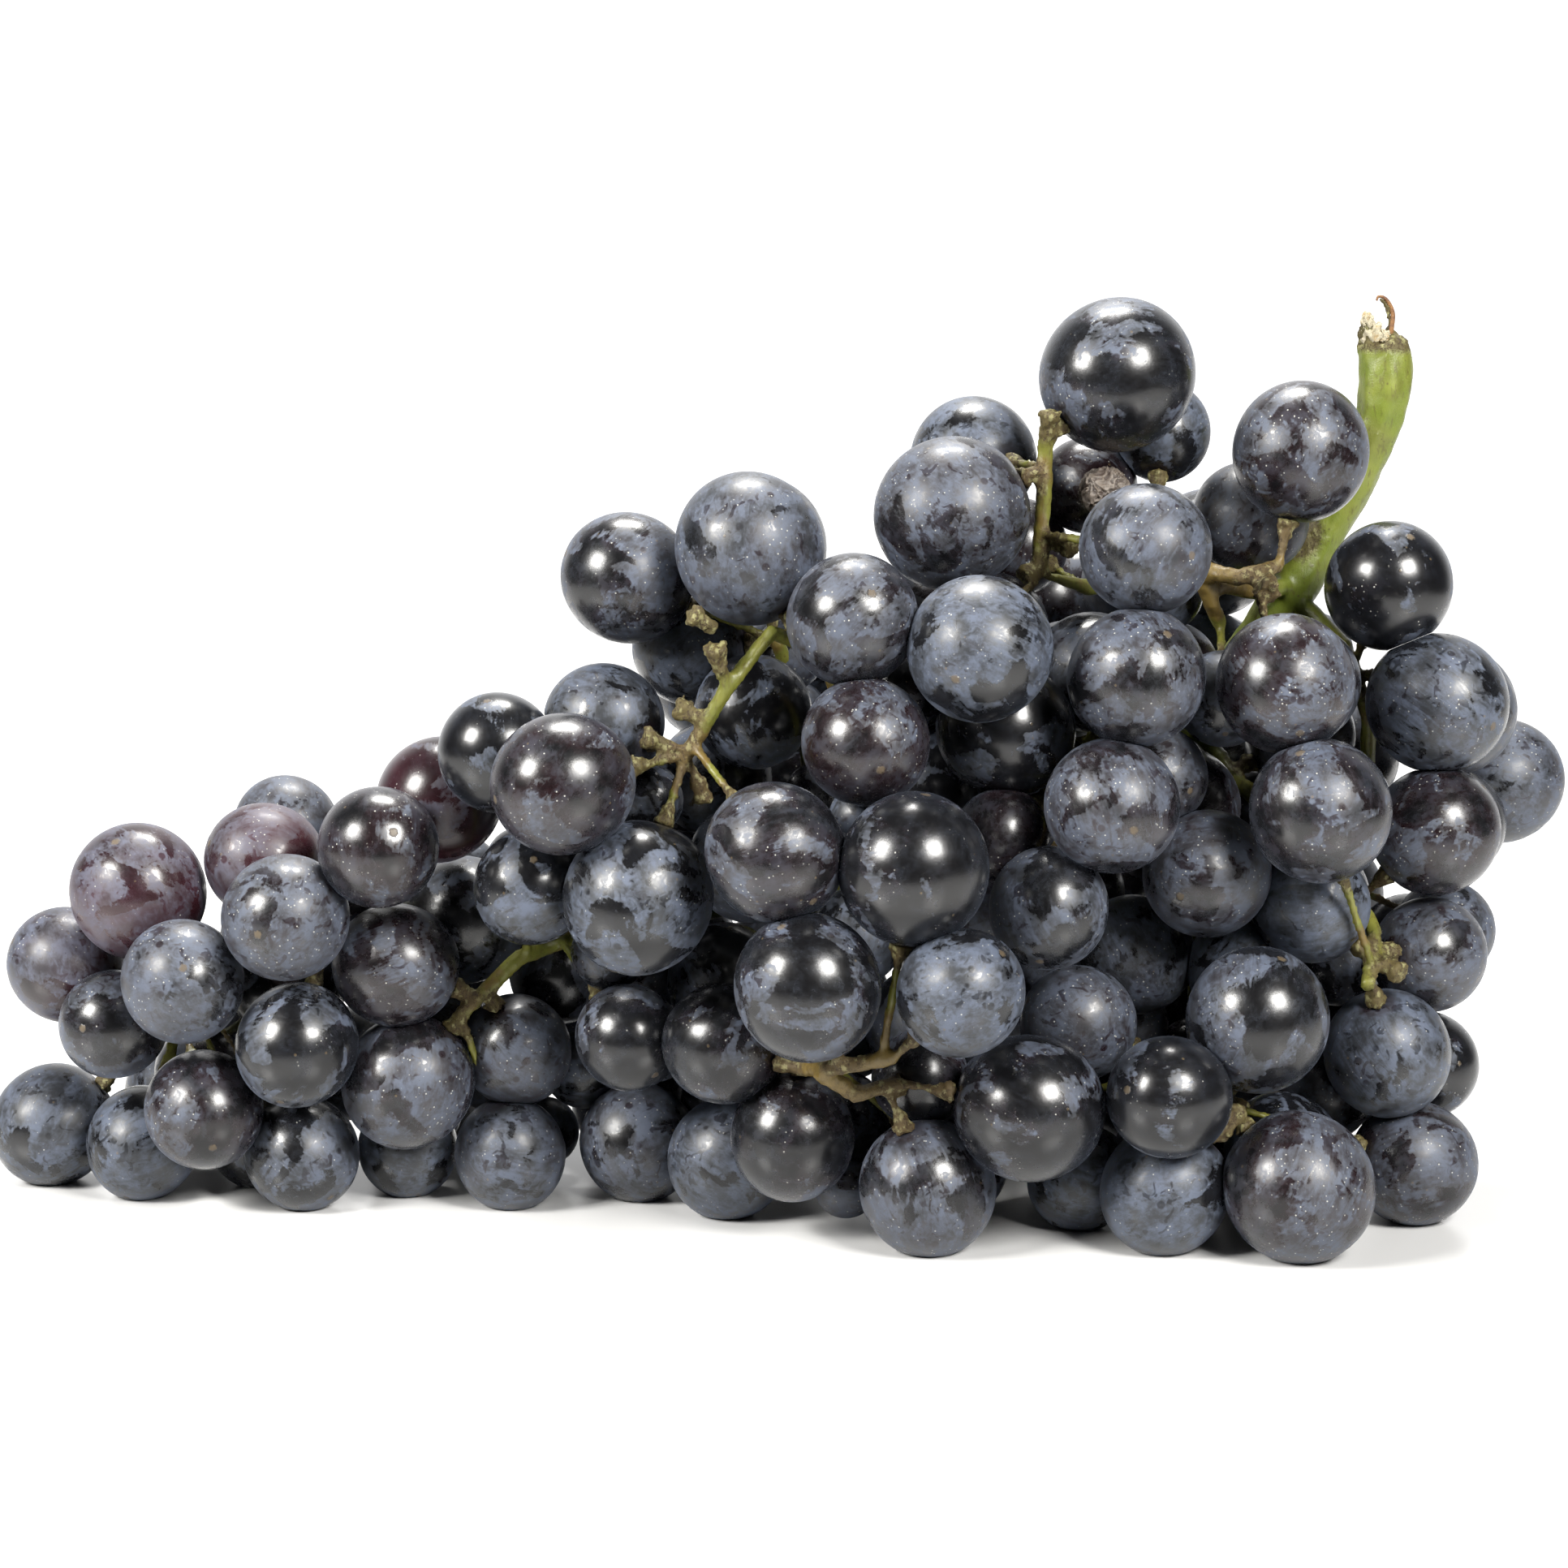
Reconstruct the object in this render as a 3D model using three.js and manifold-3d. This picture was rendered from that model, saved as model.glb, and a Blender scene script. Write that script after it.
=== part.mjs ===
// A bunch of black table grapes, as picked, lying on its side. One green stem branches into twigs,
// and every twig carries berries on short stalks (pedicels). The berries that press on each other
// in one place are fused in one solid, a cluster. Millimetres. +Z is up and the table is Z = 0.
// +X runs from the bunch's tip to its torn-off stalk, and -Y is the side with the best view.
import * as THREE from "three";
import { mergeVertices } from "three/addons/utils/BufferGeometryUtils.js";
import Module from "manifold-3d";

const wasm = await Module();
wasm.setup();

// Berries.
const STRETCH = 1.04; // a berry's length along its own axis, over its width
const SWELL = 1.03; // a faceted berry's corners stand this much outside its true round form
const CLUSTER_GAP = 0.55; // clear space between berries of two clusters, and from berry to stem
const NEIGHBOUR_GAP = 0.35; // the same between berries of one cluster that aren't joined
const LINK_BITE = 1; // how deep two joined berries of one cluster press into each other
const FOOT_FLAT = 0.6; // how deep a berry is pressed flat where it rests on the table
const FOOT_HEIGHT = 2.5; // a berry whose lowest point is under this height rests on the table
const VIEWPOINT = new THREE.Vector3(0, -611, 169); // berries shift along the sight line from here
const ACROSS_SIGHT = 0.3; // how easily a berry shifts across that line, against along it
const SETTLE_ROUNDS = 700;
const HOME_ROUNDS = 500; // in the first of these rounds a berry is also drawn back home
const HOME_PULL = { across: 0.06, along: 0.005 }; // share of its way home that it goes in a round
const LINK_ROUNDS = 50; // the links are chosen anew after this many of those rounds

// Stem.
const TWIG_RADII = [1.6, 1.2]; // a twig at its root and at its end
const PEDICEL_RADII = [0.85, 0.8, 1.65]; // at the twig, at the neck, and the cup against the berry
const CUP_LENGTH = 2.6;
const CUP_GAP = 0.4; // from the cup to the berry's corners
const CUT_GAP = 0.25; // what a berry still cuts out of a twig that presses on it
const SHORTEST_PEDICEL = 4;
const RACHIS_SIDES = 8;
const TWIG_SIDES = 6;
const PEDICEL_SIDES = 4;
const HIDDEN_TWIG_SIDES = 4; // on the twigs that nobody sees
const HIDDEN_PEDICEL_SIDES = 3;
const ANCHOR_STEP = 2; // pedicels start at points this far apart along the twigs
const STATION_LENGTH = 11; // length of one faceted stretch of a twig
const LONG_PEDICEL = 9; // a pedicel over this length bends once more
const TWIG_REACH = 22; // a cluster's middle this near to a twig needs no hidden twig
const HIDDEN_TWIG = { short: 9, back: 14, up: 8, piece: 7 }; // how it stops short, turns and bends
const BEND_ROUNDS = 60;
const EVENING = 0.2; // how far a point goes to the middle of its neighbours in such a round
const CROSSING_MARGIN = 1.5; // a pedicel this near to another berry counts as running through it
const CROSSING_COST = 4; // millimetres of pedicel that a millimetre through a berry is worth
const STUB_COST = 3; // and that a millimetre under the shortest pedicel is worth

// The main axis, from the torn end of the stalk to the tip of the bunch: x, y, z and radius.
const RACHIS = [
  [88.6, 8, 126, 3.2],
  [89.5, 8, 119.6, 3.8],
  [88.2, 8, 112.4, 3.3],
  [84.9, 8, 105, 2.9],
  [80, 8, 96, 3.2],
  [76.5, 8, 90, 3.9],
  [70, 8, 80, 3.0],
  [61, 7, 70, 2.7],
  [49, 5, 61, 2.6],
  [35, 2, 54, 2.5],
  [20, 0, 49, 2.4],
  [4, 0, 45, 2.3],
  [-12, 2, 42, 2.2],
  [-26, 5, 40, 2.1],
  [-40, 8, 38, 1.9],
  [-54, 8, 35, 1.7],
  [-68, 7, 32, 1.5],
  [-82, 5, 29, 1.3],
  [-91, 2, 25, 1.2],
];

// The torn end: a tongue of pith, a ragged corner and one dry curled fibre. Points and radii.
const TORN_END = [
  { run: [[87.6, 8, 124], [86.8, 8, 128], [86.2, 7.8, 130.2]], radii: [2.3, 1.7, 0.8] },
  { run: [[90.2, 8, 123], [90.2, 8, 127], [89.8, 8, 128.6]], radii: [1.5, 1.1, 0.6] },
  {
    run: [[89.4, 8, 126], [90, 7.6, 129], [89.6, 7.4, 131.4], [88, 7.2, 133]],
    radii: [0.6, 0.5, 0.5, 0.45],
  },
];

// Clusters of the near side. A berry is x, y, z and diameter.
const CLUSTERS = {
  crown: [
    [48, -12, 123, 22], [56.5, 1, 114, 14.5], [45, 3, 105.5, 14.5], [34.5, 6, 95.5, 14.5],
    [28, 1, 109.5, 18.5], [24, -18, 103.5, 22],
  ],
  collar: [[75, -10, 111.5, 20], [69.5, 4, 100.5, 17]],
  shoulder: [
    [88, -10, 92.5, 18.5], [95, -14, 75.5, 20.5], [100, 6, 71.5, 20], [95, -16, 56.5, 18.5],
    [100, 3, 54, 17], [110.5, 20, 58, 19],
  ],
  neck: [
    [70.5, -32, 82, 19.5], [75.5, -9, 77.5, 18], [77.5, 4, 67.5, 16], [75, -42, 63.5, 20],
    [63.5, -17, 76.5, 14],
  ],
  brow: [
    [51, -29, 101, 18.5], [49.5, -37, 83, 19.5], [45.5, -45, 65, 19], [37, -40, 49.5, 17],
    [31, -27, 58, 13.5], [32, -22, 73.5, 19.5],
  ],
  cheek: [
    [53, -20, 67, 15], [60.5, -32, 52.5, 18.5], [76.5, -24, 48, 17], [67, -16, 36, 15.5],
    [51, -14, 38, 18], [42.5, -28, 31, 16.5],
  ],
  heel: [
    [99.5, 1, 39, 15], [95, -15, 38.5, 17], [82.5, -5, 35.5, 14], [87, -26, 26, 18.5],
    [92.5, -21, 9, 18.5],
  ],
  foot: [
    [67, -37, 33.5, 20.5], [54, -48, 25.5, 17.5], [53.5, -43, 9, 18.5], [73.5, -45, 11, 21.5],
    [72.5, -26, 11.5, 17], [80, -13, 17, 14.5], [43.5, -15, 8.5, 15.5],
  ],
  chest: [[9.5, -34, 90, 18.5], [11.5, -42, 74.5, 18], [27.5, -39, 87, 20.5]],
  belly: [[-2, -44, 60, 19.5], [18.5, -48, 58, 21], [3.5, -50, 40.5, 20.5], [24.5, -54, 41, 17.5]],
  hem: [
    [35, -46, 24.5, 21], [20, -32, 26, 14], [19.5, -38, 9.5, 19.5], [24, -19, 8, 18],
    [28, -2, 7.5, 16],
  ],
  hump: [
    [-22.5, -10, 93, 19], [-14, 0, 81.5, 17.5], [-3.5, -2, 97.5, 20], [-5, -22, 99, 21.5],
    [-4, -13, 74, 17],
  ],
  saddle: [
    [-41.5, -26, 70, 17], [-31, -42, 69, 20], [-25, -24, 74.5, 17], [-20, -36, 50.5, 21.5],
    [-36.5, -24, 50, 16.5],
  ],
  keel: [
    [-22.5, -24, 28, 15.5], [-9, -35, 30.5, 17.5], [2, -34, 15, 18],
    [-8, -19, 9, 18], [-22, -6, 9, 17.5],
  ],
  flank: [
    [-71, -21, 26, 18], [-56.5, -20, 38.5, 18], [-55, -20, 20, 19.5], [-48, -4, 41, 19],
    [-56.5, -4, 7.5, 15], [-39.5, -12, 24.5, 16.5], [-40.5, -15, 8.5, 16.5],
  ],
  ridge: [
    [-77, -6, 50.5, 17.5], [-75.5, 10, 52.5, 16], [-72.5, -21, 44.5, 18.5], [-58, -27, 56.5, 17.5],
    [-50.5, -10, 60.5, 18.5],
  ],
  tip: [[-107, -4, 34.5, 17.5], [-98.5, -15, 27.5, 16], [-94.5, -14, 47, 20], [-86.5, -24, 37, 18]],
  toe: [
    [-110.5, -1, 9.5, 18.5], [-95.5, -10, 8.5, 17], [-85, -21, 16.5, 17.5], [-71, -15, 8.5, 17],
    [-80, -1, 7, 14.5],
  ],
};

// One berry of the crown has dried up to a raisin.
const RAISIN = [46.5, -11, 106, 9.2];
const RAISIN_DENT = 0.13; // depth of its wrinkles, over its radius
const RAISIN_WRINKLES = { x: 1.3, y: 1.1, z: 1.4 }; // how fast they come along each way, per mm
const RAISIN_SQUASH = 0.86; // its height over its width

// The far side is filled by rule: columns of berries from the table up, on a surface that bulges
// as the bunch is high there, and that stays under the skyline of the near side.
const FAR_COLUMNS = { first: -97, step: 20.6, count: 10 };
const FAR_ROW_STEP = 21;
const FAR_DIAMETERS = [17.5, 21];
const FAR_BELOW_SKYLINE = 9;
const FAR_BULGE = { least: 14, perHeight: 0.15 };
const FAR_WIDEST = 0.42; // where the far side bulges most, over the skyline's height
const FAR_SPREAD = 0.72; // from there to where it would bulge no more, over that height
const FAR_SCATTER = 6; // a berry is drawn this far from its place in the column, end to end
const FAR_CLUSTER = 6; // the most berries in one far cluster
const SEED = 20;

// Twigs that can be seen, from their root outwards. The root is sunk in what carries it.
const SEEN_TWIGS = [
  // the crown's twig, which runs left from the stalk's foot and then straight up
  [[76, 7, 90], [69.9, -3, 90.3], [63.5, -10, 92.4], [60.5, -12, 94.6], [52, -10, 93], [45.6, -10.5, 92],
    [39.3, -15, 92.3], [37.2, -16, 93], [37.1, -16, 101], [37.6, -16, 108.4], [37.7, -15.5, 116]],
  [[52, -10, 93], [54.5, -7, 98], [54.5, -6, 104]],
  // the collar's twig, in front of the stalk
  [[60.5, -12, 94.6], [65, -14, 93.7], [69.5, -14.2, 94.7], [71.6, -14, 95.4]],
  [[61, -11.5, 93.6], [62.2, -10, 90], [64, -7, 86]],
  // the shoulder's twig
  [[76, 7, 89], [83, 0.5, 82], [85.8, -4.5, 76.7], [86.5, -6, 68], [86.5, -4, 60]],
  // the bare twig on the left, in front of the hump
  [[11, 0, 47], [12, -14, 62], [9, -21, 74], [6, -24.5, 84], [0, -29.5, 88.3], [-5.2, -33, 86.2],
    [-8.7, -34, 79.2], [-10.4, -34, 75.9], [-12.4, -33, 72.7], [-13.7, -32, 70.8]],
  // the low twig between belly and hem
  [[4, 0, 45], [4, -18, 36], [2.5, -35, 26.5], [5, -44, 28], [11.6, -47.5, 29.8], [15.5, -48.5, 31]],
  [[5, -44, 28], [9, -42.5, 24.5], [12.8, -41.5, 23.6], [16.5, -41, 25.4]],
  // the heel's twig, which comes out over the heel
  [[61, 7, 70], [70, -4, 59], [80, -8, 52], [85, -16, 46], [85.6, -25, 40.5], [83.6, -31, 37]],
  // the foot's twig
  [[58, 6.5, 67.5], [61, 2, 52], [61.5, -2, 36], [61.5, -12, 23.5], [63, -26, 20.5], [63.5, -38, 20.5]],
  // the flank's twig, beside the main axis
  [[-24, 4.5, 40.3], [-31.2, -9, 39.5], [-38.9, -13.5, 37.5], [-47.5, -17, 29.5]],
  // the hump's twig
  [[6, 0, 45.4], [4, -2, 60], [3, -5, 73], [-1, -10, 84]],
];

// Bare pedicels whose berries have dropped, each with the knob that it keeps.
const BARE_PEDICELS = [
  [[-5.2, -33, 86.2], [-8.6, -34.6, 88.3], [-12.8, -35.6, 91.4]],
  [[-8, -34, 80.5], [-9.6, -36, 86.7]],
  [[-13.2, -32.5, 71.6], [-17.2, -33, 72.5], [-19.6, -33.6, 73.6]],
  [[-13.7, -32, 70.8], [-12, -31.5, 66.5], [-11.4, -31, 64]],
  [[-10.4, -33.6, 76], [-14.9, -31.5, 77.5]],
  [[37.2, -16, 96], [34.4, -18, 94.4]],
  [[39, -15.4, 99], [41.4, -17.4, 98.4]],
  [[37.6, -16, 112], [38, -17.4, 118]],
  [[70, -14.4, 94.6], [69.8, -19.6, 92.2]],
  [[63.4, -36, 20.5], [61.4, -42.4, 18.2]],
  [[63.4, -36, 20.6], [63.9, -42.6, 21]],
  [[85.4, -26, 40], [88.4, -29.4, 38.6]],
];

const SKIN = new THREE.MeshStandardMaterial({ color: 0x23242f, roughness: 0.42, metalness: 0 });
const RED_SKIN = new THREE.MeshStandardMaterial({ color: 0x3b2430, roughness: 0.4, metalness: 0 });
const RAISIN_SKIN = new THREE.MeshStandardMaterial({ color: 0x6b5650, roughness: 0.75, metalness: 0 });
const GREEN_BARK = new THREE.MeshStandardMaterial({ color: 0x9aa83a, roughness: 0.6, metalness: 0 });
const RED_CLUSTERS = ["tip", "ridge"];

const TABLE = { side: 400, depth: 20 }; // the block under the berries, which only cuts them flat

// In a run of triangles that fans out from one corner of a five-sided face, its corners in order.
const FAN_RIM = [0, 1, 4, 7, 8];
const FAN_LENGTH = 9;

const random = seededRandom(SEED);

// A small seeded generator, so that the far side is the same bunch every time.
function seededRandom(seed) {
  let state = seed;
  return () => {
    state = (state + 0x6d2b79f5) | 0;
    let mixed = Math.imul(state ^ (state >>> 15), 1 | state);
    mixed = (mixed + Math.imul(mixed ^ (mixed >>> 7), 61 | mixed)) ^ mixed;
    return ((mixed ^ (mixed >>> 14)) >>> 0) / 4294967296;
  };
}

function vector([x, y, z]) {
  return new THREE.Vector3(x, y, z);
}

function makeBerry(place, cluster) {
  const centre = vector(place);
  const radius = place[3] / 2;
  return {
    cluster,
    radius,
    centre,
    home: centre.clone(),
    sight: centre.clone().sub(VIEWPOINT).normalize(),
    rests: centre.z - radius < FOOT_HEIGHT,
  };
}

function nearBerries() {
  return Object.entries(CLUSTERS).flatMap(([name, places]) =>
    places.map((place) => makeBerry(place, name)),
  );
}

// Height of the near side's outline over x.
function skyline(berries, x) {
  const tops = berries.map(({ centre, radius }) => {
    const aside = Math.abs(centre.x - x);
    return aside < radius ? centre.z + Math.sqrt(radius ** 2 - aside ** 2) : 0;
  });
  return Math.max(...tops);
}

// Far side: two columns make a cluster, or more clusters one above the other where they are high.
function farBerries(near) {
  const columns = Array.from({ length: FAR_COLUMNS.count }, (_, index) => farColumn(near, index));
  const berries = [];
  for (let index = 0; index < columns.length; index += 2) {
    const pair = columns.slice(index, index + 2).flat().sort((a, b) => a[2] - b[2]);
    const parts = Math.ceil(pair.length / FAR_CLUSTER);
    pair.forEach((place, rank) => {
      const part = Math.floor((rank * parts) / pair.length) + 1;
      berries.push(makeBerry(place, `far_${index / 2 + 1}_${part}`));
    });
  }
  return berries;
}

function farColumn(near, index) {
  const x = FAR_COLUMNS.first + index * FAR_COLUMNS.step;
  const [least, most] = FAR_DIAMETERS;
  const top = Math.min(...[-most / 2, 0, most / 2].map((aside) => skyline(near, x + aside)));
  const column = [];
  const start = index % 2 ? FAR_ROW_STEP : FAR_ROW_STEP / 2;
  for (let z = start; z + most / 2 < top - FAR_BELOW_SKYLINE; z += FAR_ROW_STEP) {
    const height = (z / top - FAR_WIDEST) / FAR_SPREAD;
    const bulge = (FAR_BULGE.least + FAR_BULGE.perHeight * top) * Math.sqrt(1 - height ** 2);
    const scatter = () => (random() - 0.5) * FAR_SCATTER;
    column.push([x + scatter(), bulge + scatter(), z + scatter(), least + (most - least) * random()]);
  }
  return column;
}

// Pairs of berries of one cluster that join it all up by its smallest gaps.
function clusterLinks(berries) {
  const links = new Set();
  for (const name of new Set(berries.map((berry) => berry.cluster))) {
    const members = berries.filter((berry) => berry.cluster === name);
    const joined = [members[0]];
    while (joined.length < members.length) {
      let best = { gap: Infinity };
      for (const from of joined) {
        for (const to of members.filter((member) => !joined.includes(member))) {
          const gap = from.centre.distanceTo(to.centre) - from.radius - to.radius;
          if (gap < best.gap) best = { gap, from, to };
        }
      }
      joined.push(best.to);
      links.add(pairKey(berries, best.from, best.to));
    }
  }
  return links;
}

function pairKey(berries, one, other) {
  const [low, high] = [berries.indexOf(one), berries.indexOf(other)].sort((a, b) => a - b);
  return low * berries.length + high;
}

// Moves a berry by an amount along a direction, but sooner along the line of sight than across it.
function shift(berry, direction, amount) {
  const along = berry.sight.dot(direction);
  const step = direction.clone().multiplyScalar(ACROSS_SIGHT);
  step.addScaledVector(berry.sight, (1 - ACROSS_SIGHT) * along);
  berry.centre.addScaledVector(step, amount / step.dot(direction));
}

// Lets the berries find room: clusters stay clear of each other and of the stem, linked berries
// press together, and what rests on the table is pressed flat on it.
function settle(berries, limbs) {
  let links = clusterLinks(berries);
  for (let round = 0; round < SETTLE_ROUNDS; round += 1) {
    const homing = round < HOME_ROUNDS;
    if (homing && (round + 1) % LINK_ROUNDS === 0) links = clusterLinks(berries);
    for (let i = 0; i < berries.length; i += 1) {
      for (let j = i + 1; j < berries.length; j += 1) {
        settlePair(berries[i], berries[j], links.has(i * berries.length + j));
      }
      if (homing) drawHome(berries[i]);
      keepOffLimbs(berries[i], limbs);
      keepOnTable(berries[i]);
    }
  }
}

function settlePair(one, other, linked) {
  const apart = other.centre.clone().sub(one.centre);
  const distance = apart.length();
  const reach = one.radius + other.radius;
  const rest = reach + (one.cluster === other.cluster ? NEIGHBOUR_GAP : CLUSTER_GAP);
  const wanted = linked ? reach - LINK_BITE : rest;
  if (!linked && distance >= wanted) return;
  apart.normalize();
  shift(one, apart, (distance - wanted) / 2);
  shift(other, apart, (wanted - distance) / 2);
}

function drawHome(berry) {
  const back = berry.home.clone().sub(berry.centre);
  const along = back.dot(berry.sight);
  berry.centre.addScaledVector(back, HOME_PULL.across);
  berry.centre.addScaledVector(berry.sight, (HOME_PULL.along - HOME_PULL.across) * along);
}

function keepOffLimbs(berry, limbs) {
  for (const limb of limbs) {
    const { point, radius } = nearestOnLimb(limb, berry.centre);
    const away = berry.centre.clone().sub(point);
    const lack = berry.radius + radius + CLUSTER_GAP - away.length();
    if (lack > 0) shift(berry, away.normalize(), lack);
  }
}

function keepOnTable(berry) {
  const height = berry.radius - FOOT_FLAT;
  if (berry.rests || berry.centre.z < height) berry.centre.z = height;
}

// A limb is a rounded run of points with a radius at each of them.
function makeLimb(points, radii, seen) {
  const curve = new THREE.CatmullRomCurve3(points, false, "centripetal");
  const count = Math.ceil(curve.getLength() / ANCHOR_STEP);
  const samples = curve.getSpacedPoints(count);
  return { curve, radii, samples, seen };
}

function radiusAlong(radii, t) {
  const place = t * (radii.length - 1);
  const index = Math.min(Math.floor(place), radii.length - 2);
  return THREE.MathUtils.lerp(radii[index], radii[index + 1], place - index);
}

function nearestOnLimb(limb, place) {
  let best = { distance: Infinity };
  limb.samples.slice(1).forEach((to, index) => {
    const line = new THREE.Line3(limb.samples[index], to);
    const point = line.closestPointToPoint(place, true, new THREE.Vector3());
    const distance = point.distanceTo(place);
    const radius = radiusAlong(limb.radii, index / limb.samples.length);
    if (distance < best.distance) best = { distance, point, radius };
  });
  return best;
}

// Pushes the inner points of a run of points clear of the berries, and keeps the run even.
function bendClear(points, radius, berries) {
  for (let round = 0; round < BEND_ROUNDS; round += 1) {
    for (let index = 1; index < points.length - 1; index += 1) {
      const middle = points[index - 1].clone().add(points[index + 1]).multiplyScalar(0.5);
      points[index].lerp(middle, EVENING);
      for (const berry of berries) {
        const away = points[index].clone().sub(berry.centre);
        const lack = berry.radius + radius + CLUSTER_GAP - away.length();
        if (lack > 0) points[index].addScaledVector(away.normalize(), lack);
      }
    }
  }
  return points;
}

// Twigs that nobody sees: each runs from the main axis towards the middle of a cluster.
function hiddenTwig(middle, rachis, berries) {
  const { short, back, up, piece } = HIDDEN_TWIG;
  const inwards = nearestOnLimb(rachis, middle).point.clone().sub(middle);
  const inset = Math.min(short, inwards.length() / 2);
  const end = middle.clone().addScaledVector(inwards.clone().normalize(), inset);
  const stalkwards = end.clone().add(new THREE.Vector3(back, 0, up));
  const root = nearestOnLimb(rachis, stalkwards).point;
  const pieces = Math.max(2, Math.round(root.distanceTo(end) / piece));
  const points = [];
  for (let index = 0; index <= pieces; index += 1) points.push(root.clone().lerp(end, index / pieces));
  return makeLimb(bendClear(points, TWIG_RADII[0], berries), TWIG_RADII, false);
}

function hiddenTwigs(clusters, rachis, seenTwigs, berries) {
  const twigs = [];
  for (const name of clusters) {
    const middle = middleOf(name, berries);
    const gaps = [rachis, ...seenTwigs, ...twigs].map((twig) => nearestOnLimb(twig, middle).distance);
    if (Math.min(...gaps) >= TWIG_REACH) twigs.push(hiddenTwig(middle, rachis, berries));
  }
  return twigs;
}

function middleOf(name, berries) {
  const members = berries.filter((berry) => berry.cluster === name);
  const middle = new THREE.Vector3();
  for (const berry of members) middle.addScaledVector(berry.centre, 1 / members.length);
  return middle;
}

// How far a straight line between two places runs through berries, summed up.
function crossing(from, to, own, berries) {
  const line = new THREE.Line3(from, to);
  const nearest = new THREE.Vector3();
  let sum = 0;
  for (const berry of berries) {
    if (berry === own) continue;
    line.closestPointToPoint(berry.centre, true, nearest);
    sum += Math.max(0, berry.radius + CROSSING_MARGIN - nearest.distanceTo(berry.centre));
  }
  return sum;
}

// A berry hangs on the twig that it reaches best. Its axis points to where its pedicel comes from.
function hangBerry(berry, limbs, berries) {
  let best = { cost: Infinity };
  for (const limb of limbs) {
    for (const anchor of limb.samples.slice(1)) {
      const distance = anchor.distanceTo(berry.centre) - berry.radius;
      if (distance > best.cost) continue;
      const axis = anchor.clone().sub(berry.centre).normalize();
      const pole = berry.centre.clone().addScaledVector(axis, halfLength(berry) + CUP_GAP);
      const tooShort = Math.max(0, SHORTEST_PEDICEL - distance);
      const blocked = crossing(pole, anchor, berry, berries);
      const cost = distance + STUB_COST * tooShort + CROSSING_COST * blocked;
      if (cost < best.cost) best = { cost, anchor, axis, pole, seen: limb.seen };
    }
  }
  berry.axis = best.axis;
  const neck = best.pole.clone().addScaledVector(best.axis, CUP_LENGTH);
  const others = berries.filter((other) => other !== berry);
  const bend = neck.clone().lerp(best.anchor, 0.5);
  const run = [best.anchor.clone(), bend, neck.clone()];
  const [root, turned] = bendClear(run, PEDICEL_RADII[1], others);
  const bends = root.distanceTo(neck) > LONG_PEDICEL ? [turned] : [];
  if (!best.seen) return { points: [root, ...bends, best.pole], sides: HIDDEN_PEDICEL_SIDES };
  return { points: [root, ...bends, neck, best.pole], sides: PEDICEL_SIDES };
}

// Turns a closed three.js geometry into a solid.
function solid(geometry) {
  geometry.deleteAttribute("normal");
  geometry.deleteAttribute("uv");
  const merged = mergeVertices(geometry);
  return new wasm.Manifold(
    new wasm.Mesh({
      numProp: 3,
      vertProperties: new Float32Array(merged.attributes.position.array),
      triVerts: new Uint32Array(merged.index.array),
    }),
  );
}

// A tapered round bar along a curve, closed at both ends.
function bar(curve, radii, sides, stations) {
  const frames = curve.computeFrenetFrames(stations, false);
  const geometry = new THREE.CylinderGeometry(1, 1, 1, sides, stations);
  const position = geometry.attributes.position;
  const ring = new THREE.Vector3();
  for (let index = 0; index < position.count; index += 1) {
    const station = Math.round((0.5 - position.getY(index)) * stations);
    const radius = radiusAlong(radii, station / stations);
    curve.getPointAt(station / stations, ring);
    ring.addScaledVector(frames.normals[station], position.getX(index) * radius);
    ring.addScaledVector(frames.binormals[station], position.getZ(index) * radius);
    position.setXYZ(index, ring.x, ring.y, ring.z);
  }
  return solid(geometry);
}

function limbSolid(limb, sides) {
  const stations = Math.max(2, Math.round(limb.curve.getLength() / STATION_LENGTH));
  return bar(limb.curve, limb.radii, sides, stations);
}

// A pedicel: straight runs between its points, and wider where it ends against the berry.
function pedicelSolid(points, radii, sides) {
  const frames = new THREE.CatmullRomCurve3(points).computeFrenetFrames(points.length - 1, false);
  const geometry = new THREE.CylinderGeometry(1, 1, 1, sides, points.length - 1);
  const position = geometry.attributes.position;
  for (let index = 0; index < position.count; index += 1) {
    const station = Math.round((0.5 - position.getY(index)) * (points.length - 1));
    const ring = points[station].clone();
    ring.addScaledVector(frames.normals[station], position.getX(index) * radii[station]);
    ring.addScaledVector(frames.binormals[station], position.getZ(index) * radii[station]);
    position.setXYZ(index, ring.x, ring.y, ring.z);
  }
  return solid(geometry);
}

// Half the length and half the width of a faceted berry, out to its corners.
function halfLength(berry) {
  return berry.radius * STRETCH ** (2 / 3) * SWELL;
}

function halfWidth(berry) {
  return berry.radius * STRETCH ** (-1 / 3) * SWELL;
}

// A ball of 60 nearly equal faces: a dodecahedron with the middle of each side raised to a corner.
function ballGeometry() {
  const sides = new THREE.DodecahedronGeometry(1, 0).attributes.position;
  const corners = [];
  for (let first = 0; first < sides.count; first += FAN_LENGTH) {
    const corner = (index) => new THREE.Vector3().fromBufferAttribute(sides, first + index);
    const rim = FAN_RIM.map(corner);
    const middle = rim.reduce((sum, next) => sum.add(next), new THREE.Vector3()).normalize();
    rim.forEach((next, index) => corners.push(middle, next, rim[(index + 1) % rim.length]));
  }
  return mergeVertices(new THREE.BufferGeometry().setFromPoints(corners));
}

function berrySolid(berry, margin) {
  const across = halfWidth(berry) + margin;
  const geometry = ballGeometry();
  geometry.scale(across, halfLength(berry) + margin, across);
  const turn = new THREE.Quaternion().setFromUnitVectors(new THREE.Vector3(0, 1, 0), berry.axis);
  geometry.applyQuaternion(turn);
  geometry.translate(berry.centre.x, berry.centre.y, berry.centre.z);
  return solid(geometry);
}

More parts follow.
